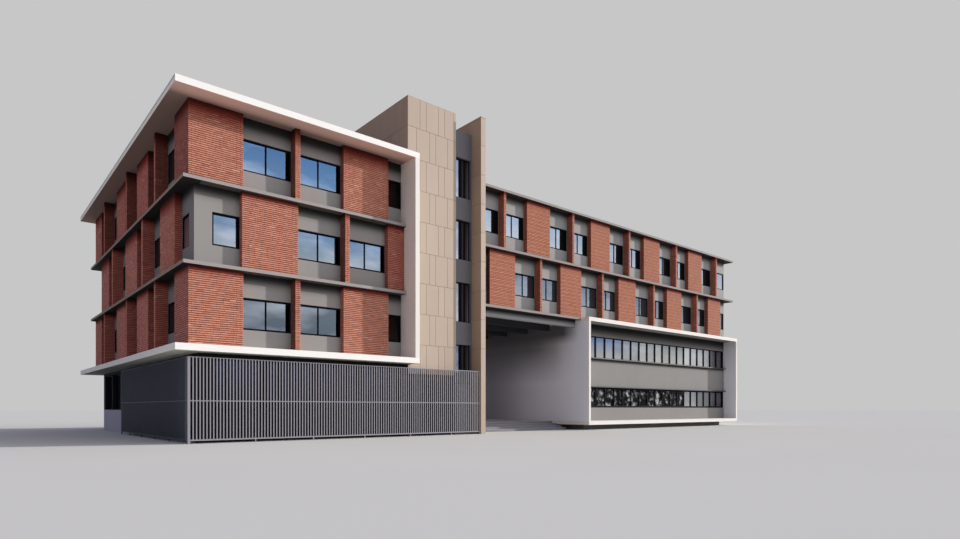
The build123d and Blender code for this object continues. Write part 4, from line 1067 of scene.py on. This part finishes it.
# ribbon windows of the white box: painted reflection tones up to a place along the front
RIBBON_LOOK = {"high": [(31.5, ((100, 124, 160), (166, 165, 160))), (33.6, ((116, 126, 138), (150, 150, 147))), (39.9, ((139, 146, 147), (178, 180, 173))),
                        (42.0, ((176, 182, 186), (192, 193, 189))), (44.1, ((160, 166, 172), (186, 187, 184))), (99.0, ((138, 137, 143), (162, 160, 163)))],
               "low": [(39.9, ((18, 20, 22), (58, 61, 60))), (42.0, ((138, 143, 146), (190, 192, 189))), (44.1, ((126, 131, 135), (141, 143, 140))),
                       (99.0, ((158, 155, 163), (140, 136, 143)))]}
ribbon_frames, ribbon_panes, ribbon_low = Blocks(), Panes(), Panes()
bars = [26.30] + [27.285 + 1.0575 * k for k in range(19)] + [46.45]
for (z0, z1), rows in ((RIB_LOW, "low"), (RIB_HIGH, "high")):
    for face in (Face(1, -1, 1.60), Face(1, 1, 11.95)):
        if face.sign < 0:
            w0, w1, g = 0.0, 0.09, 0.02
        else:
            w0, w1, g = 0.0, 0.09, 0.02
        a, b = QX0 + QT, QX1 - QT
        head, foot = (0.12, 0.13) if rows == "low" else (0.07, 0.05)
        face.put(ribbon_frames, a, b, w0, w1, z1 - head, z1)
        face.put(ribbon_frames, a, b, w0, w1, z0, z0 + foot)
        for k, x in enumerate(bars):
            x0, x1 = x - 0.042, x + 0.042
            x0, x1 = max(a, x0), min(b, x1)
            face.put(ribbon_frames, x0, x1, w0, w1, z0 + foot, z1 - head)
        for p, q in zip(bars, bars[1:]):
            mid = (p + q) / 2
            top, low = next(look for end, look in RIBBON_LOOK[rows] if mid < end)
            mirror = rows == "low" and mid < 39.9
            (ribbon_low if mirror else ribbon_panes).add(face, p + 0.02, q - 0.02, g - 0.004, g + 0.004, z0 + 0.03, z1 - 0.04, *tint(top, low, 0.10))
ribbon_frames.make("ribbon_window_frames", FRAME, None)
ribbon_panes.make("ribbon_window_panes", GLASS_DULL, "box_ribbon_glass")
ribbon_low.make("ribbon_window_mottled_panes", MOTTLED, "box_ribbon_glass")

# ------------------------------------------------------------------ stone cladding of the tower and fin
cladding = Blocks()
T, GAP = 0.014, 0.014
ROWS = [TZ] + [16.66 - 1.676 * k for k in range(0, 8)]
SET_1, SET_2 = [0.78, 1.20, 2.02, 2.45, 3.10], [0.55, 1.42, 1.83, 2.66, 3.10]


def clad(face, u0, u1, z0, z1, cuts, flip=False):
    """Slabs between horizontal joints, each row cut at its own places."""
    edges = sorted({z0, z1, *[z for z in ROWS if z0 + 0.05 < z < z1 - 0.05]})
    for lo, hi in zip(edges, edges[1:]):
        row = sum(1 for z in ROWS if z >= hi - 1e-6)
        c = cuts[row % 2]
        xs = [u0] + [u0 + k for k in c if k < u1 - u0 - 0.05] + [u1]
        if flip:
            xs = sorted(u1 + u0 - x for x in xs)
        for a, b in zip(xs, xs[1:]):
            face.put(cladding, a + GAP / 2 * (a > u0), b - GAP / 2 * (b < u1), -0.004, T, lo + GAP / 2 * (lo > z0), hi - GAP / 2 * (hi < z1), 0.002, float(np.clip(rng.normal(0.5, 0.22), 0, 1)))


wide = [[0.78 + 0.82 * k for k in range(10)], [0.42 + 0.82 * k for k in range(10)]]
clad(Face(1, -1, TY0), TX0, TX1, CLAD_Z, TZ, [SET_2, SET_1])
clad(Face(0, -1, TX0), TY0 - T, TY1 + T, ZR, TZ, wide)
clad(Face(0, 1, TX1), TY0 - T, STRIP_Y, CLAD_Z, TZ, [[], []])
clad(Face(0, 1, TX1), STRIP_Y, TY1 + T, STRIP_Z - 0.08, TZ, wide)
clad(Face(1, 1, TY1), TX0, TX1, ZR, TZ, [SET_2, SET_1])
# fin wall
clad(Face(1, -1, FIN_Y0), FIN_X0 - T, FIN_X1 + T, 0.0, FIN_Z, [[], []])
clad(Face(0, -1, FIN_X0), FIN_Y0, STRIP_Y, 0.0, FIN_Z, [[], []])
clad(Face(0, -1, FIN_X0), STRIP_Y, TY1, STRIP_Z - 0.08, FIN_Z, wide)
clad(Face(0, 1, FIN_X1), FIN_Y0, WY_SLAB - 0.02, 0.0, FIN_Z, [[], []])
clad(Face(0, 1, FIN_X1), WY_SLAB - 0.02, TY1, ZR + 0.002, FIN_Z, wide)
clad(Face(0, 1, FIN_X1), WY_SLAB - 0.02, TY1, 0.0, 7.08, wide)
clad(Face(1, 1, TY1), FIN_X0, FIN_X1, ZR, FIN_Z, [[], []])
# copings
cladding.box(TX0 - T, TX1 + T, TY0 - T, TY0 + 0.26, TZ, TZ + 0.012, 0.003, 0.6)
cladding.box(TX0 - T, TX1 + T, TY1 - 0.26, TY1 + T, TZ, TZ + 0.012, 0.003, 0.5)
cladding.box(TX0 - T, TX0 + 0.26, TY0 + 0.26, TY1 - 0.26, TZ, TZ + 0.012, 0.003, 0.5)
cladding.box(TX1 - 0.26, TX1 + T, TY0 + 0.26, TY1 - 0.26, TZ, TZ + 0.012, 0.003, 0.5)
cladding.make("stone_cladding", STONE, "beige_cladding")

# ------------------------------------------------------------------ stage, light and camera
floor_mesh = bpy.data.meshes.new("floor")
R = 260.0
floor_mesh.from_pydata([(-R, -R, -0.002), (R, -R, -0.002), (R, R, -0.002), (-R, R, -0.002)], [], [(0, 1, 2, 3)])
floor = bpy.data.objects.new("floor", floor_mesh)
bpy.context.scene.collection.objects.link(floor)
ft = Tree("studio_floor")
floor_mesh.materials.append(ft.set(base=ft.mix(ft.noise(0.25, 3.0, 0.5), (0.60, 0.60, 0.575), (0.63, 0.63, 0.60)), rough=0.8, spec=0.0))

world = bpy.data.worlds.new("studio")
bpy.context.scene.world = world
world.use_nodes = True
wt = world.node_tree
wt.nodes.clear()


def wn(kind, **settings):
    n = wt.nodes.new(kind)
    for k, v in settings.items():
        setattr(n, k, v)
    return n


# soft box of light on the front right, dim and cool elsewhere
side = Vector((0.62, -0.72, 0.30)).normalized()
wc = wn("ShaderNodeTexCoord")
dot = wn("ShaderNodeVectorMath", operation="DOT_PRODUCT")
wt.links.new(wc.outputs["Generated"], dot.inputs[0])
dot.inputs[1].default_value = side
up = wn("ShaderNodeMath", operation="MAXIMUM")
wt.links.new(dot.outputs["Value"], up.inputs[0])
up.inputs[1].default_value = 0.0
sq = wn("ShaderNodeMath", operation="POWER")
wt.links.new(up.outputs[0], sq.inputs[0])
sq.inputs[1].default_value = 2.0
bright, dim, back, lp = wn("ShaderNodeBackground"), wn("ShaderNodeBackground"), wn("ShaderNodeBackground"), wn("ShaderNodeLightPath")
glow = wn("ShaderNodeMath", operation="MULTIPLY")
wt.links.new(sq.outputs[0], glow.inputs[0])
glow.inputs[1].default_value = GLOW
bright.inputs["Color"].default_value = (1.0, 0.985, 0.965, 1.0)
wt.links.new(glow.outputs[0], bright.inputs["Strength"])
dim.inputs["Color"].default_value = (0.98, 1.0, 1.36, 1.0)
dim.inputs["Strength"].default_value = DIMMER
both = wn("ShaderNodeAddShader")
wt.links.new(bright.outputs[0], both.inputs[0])
wt.links.new(dim.outputs[0], both.inputs[1])
back.inputs["Color"].default_value = (*BACKDROP, 1.0)
pick = wn("ShaderNodeMixShader")
wt.links.new(lp.outputs["Is Camera Ray"], pick.inputs[0])
wt.links.new(both.outputs[0], pick.inputs[1])
wt.links.new(back.outputs[0], pick.inputs[2])
wt.links.new(pick.outputs[0], wn("ShaderNodeOutputWorld").inputs["Surface"])

sun = bpy.data.lights.new("key", "SUN")
sun.energy = SUN
sun.angle = math.radians(1.2)
sun.color = (1.0, 0.965, 0.92)
sun_ob = bpy.data.objects.new("key", sun)
bpy.context.scene.collection.objects.link(sun_ob)
sun_ob.rotation_mode = "QUATERNION"
sun_ob.rotation_quaternion = Vector((-2.4, 1.0, -0.9)).to_track_quat("-Z", "Y")

cam = bpy.data.cameras.new("camera")
cam.sensor_width = 36.0
cam.lens = 615.2 * 36.0 / 960.0
cam.shift_y = (408.7 - 269.5) / 960.0
cam.clip_end = 1000.0
cam_ob = bpy.data.objects.new("camera", cam)
bpy.context.scene.collection.objects.link(cam_ob)
cam_ob.location = ((-6.717 - OX) * K, (-26.73 - OY) * K, 1.456 * K)
cam_ob.rotation_euler = (math.radians(90), 0.0, math.atan2(-0.6491, 0.7607))
bpy.context.scene.camera = cam_ob
bpy.context.scene.view_settings.view_transform = "Standard"
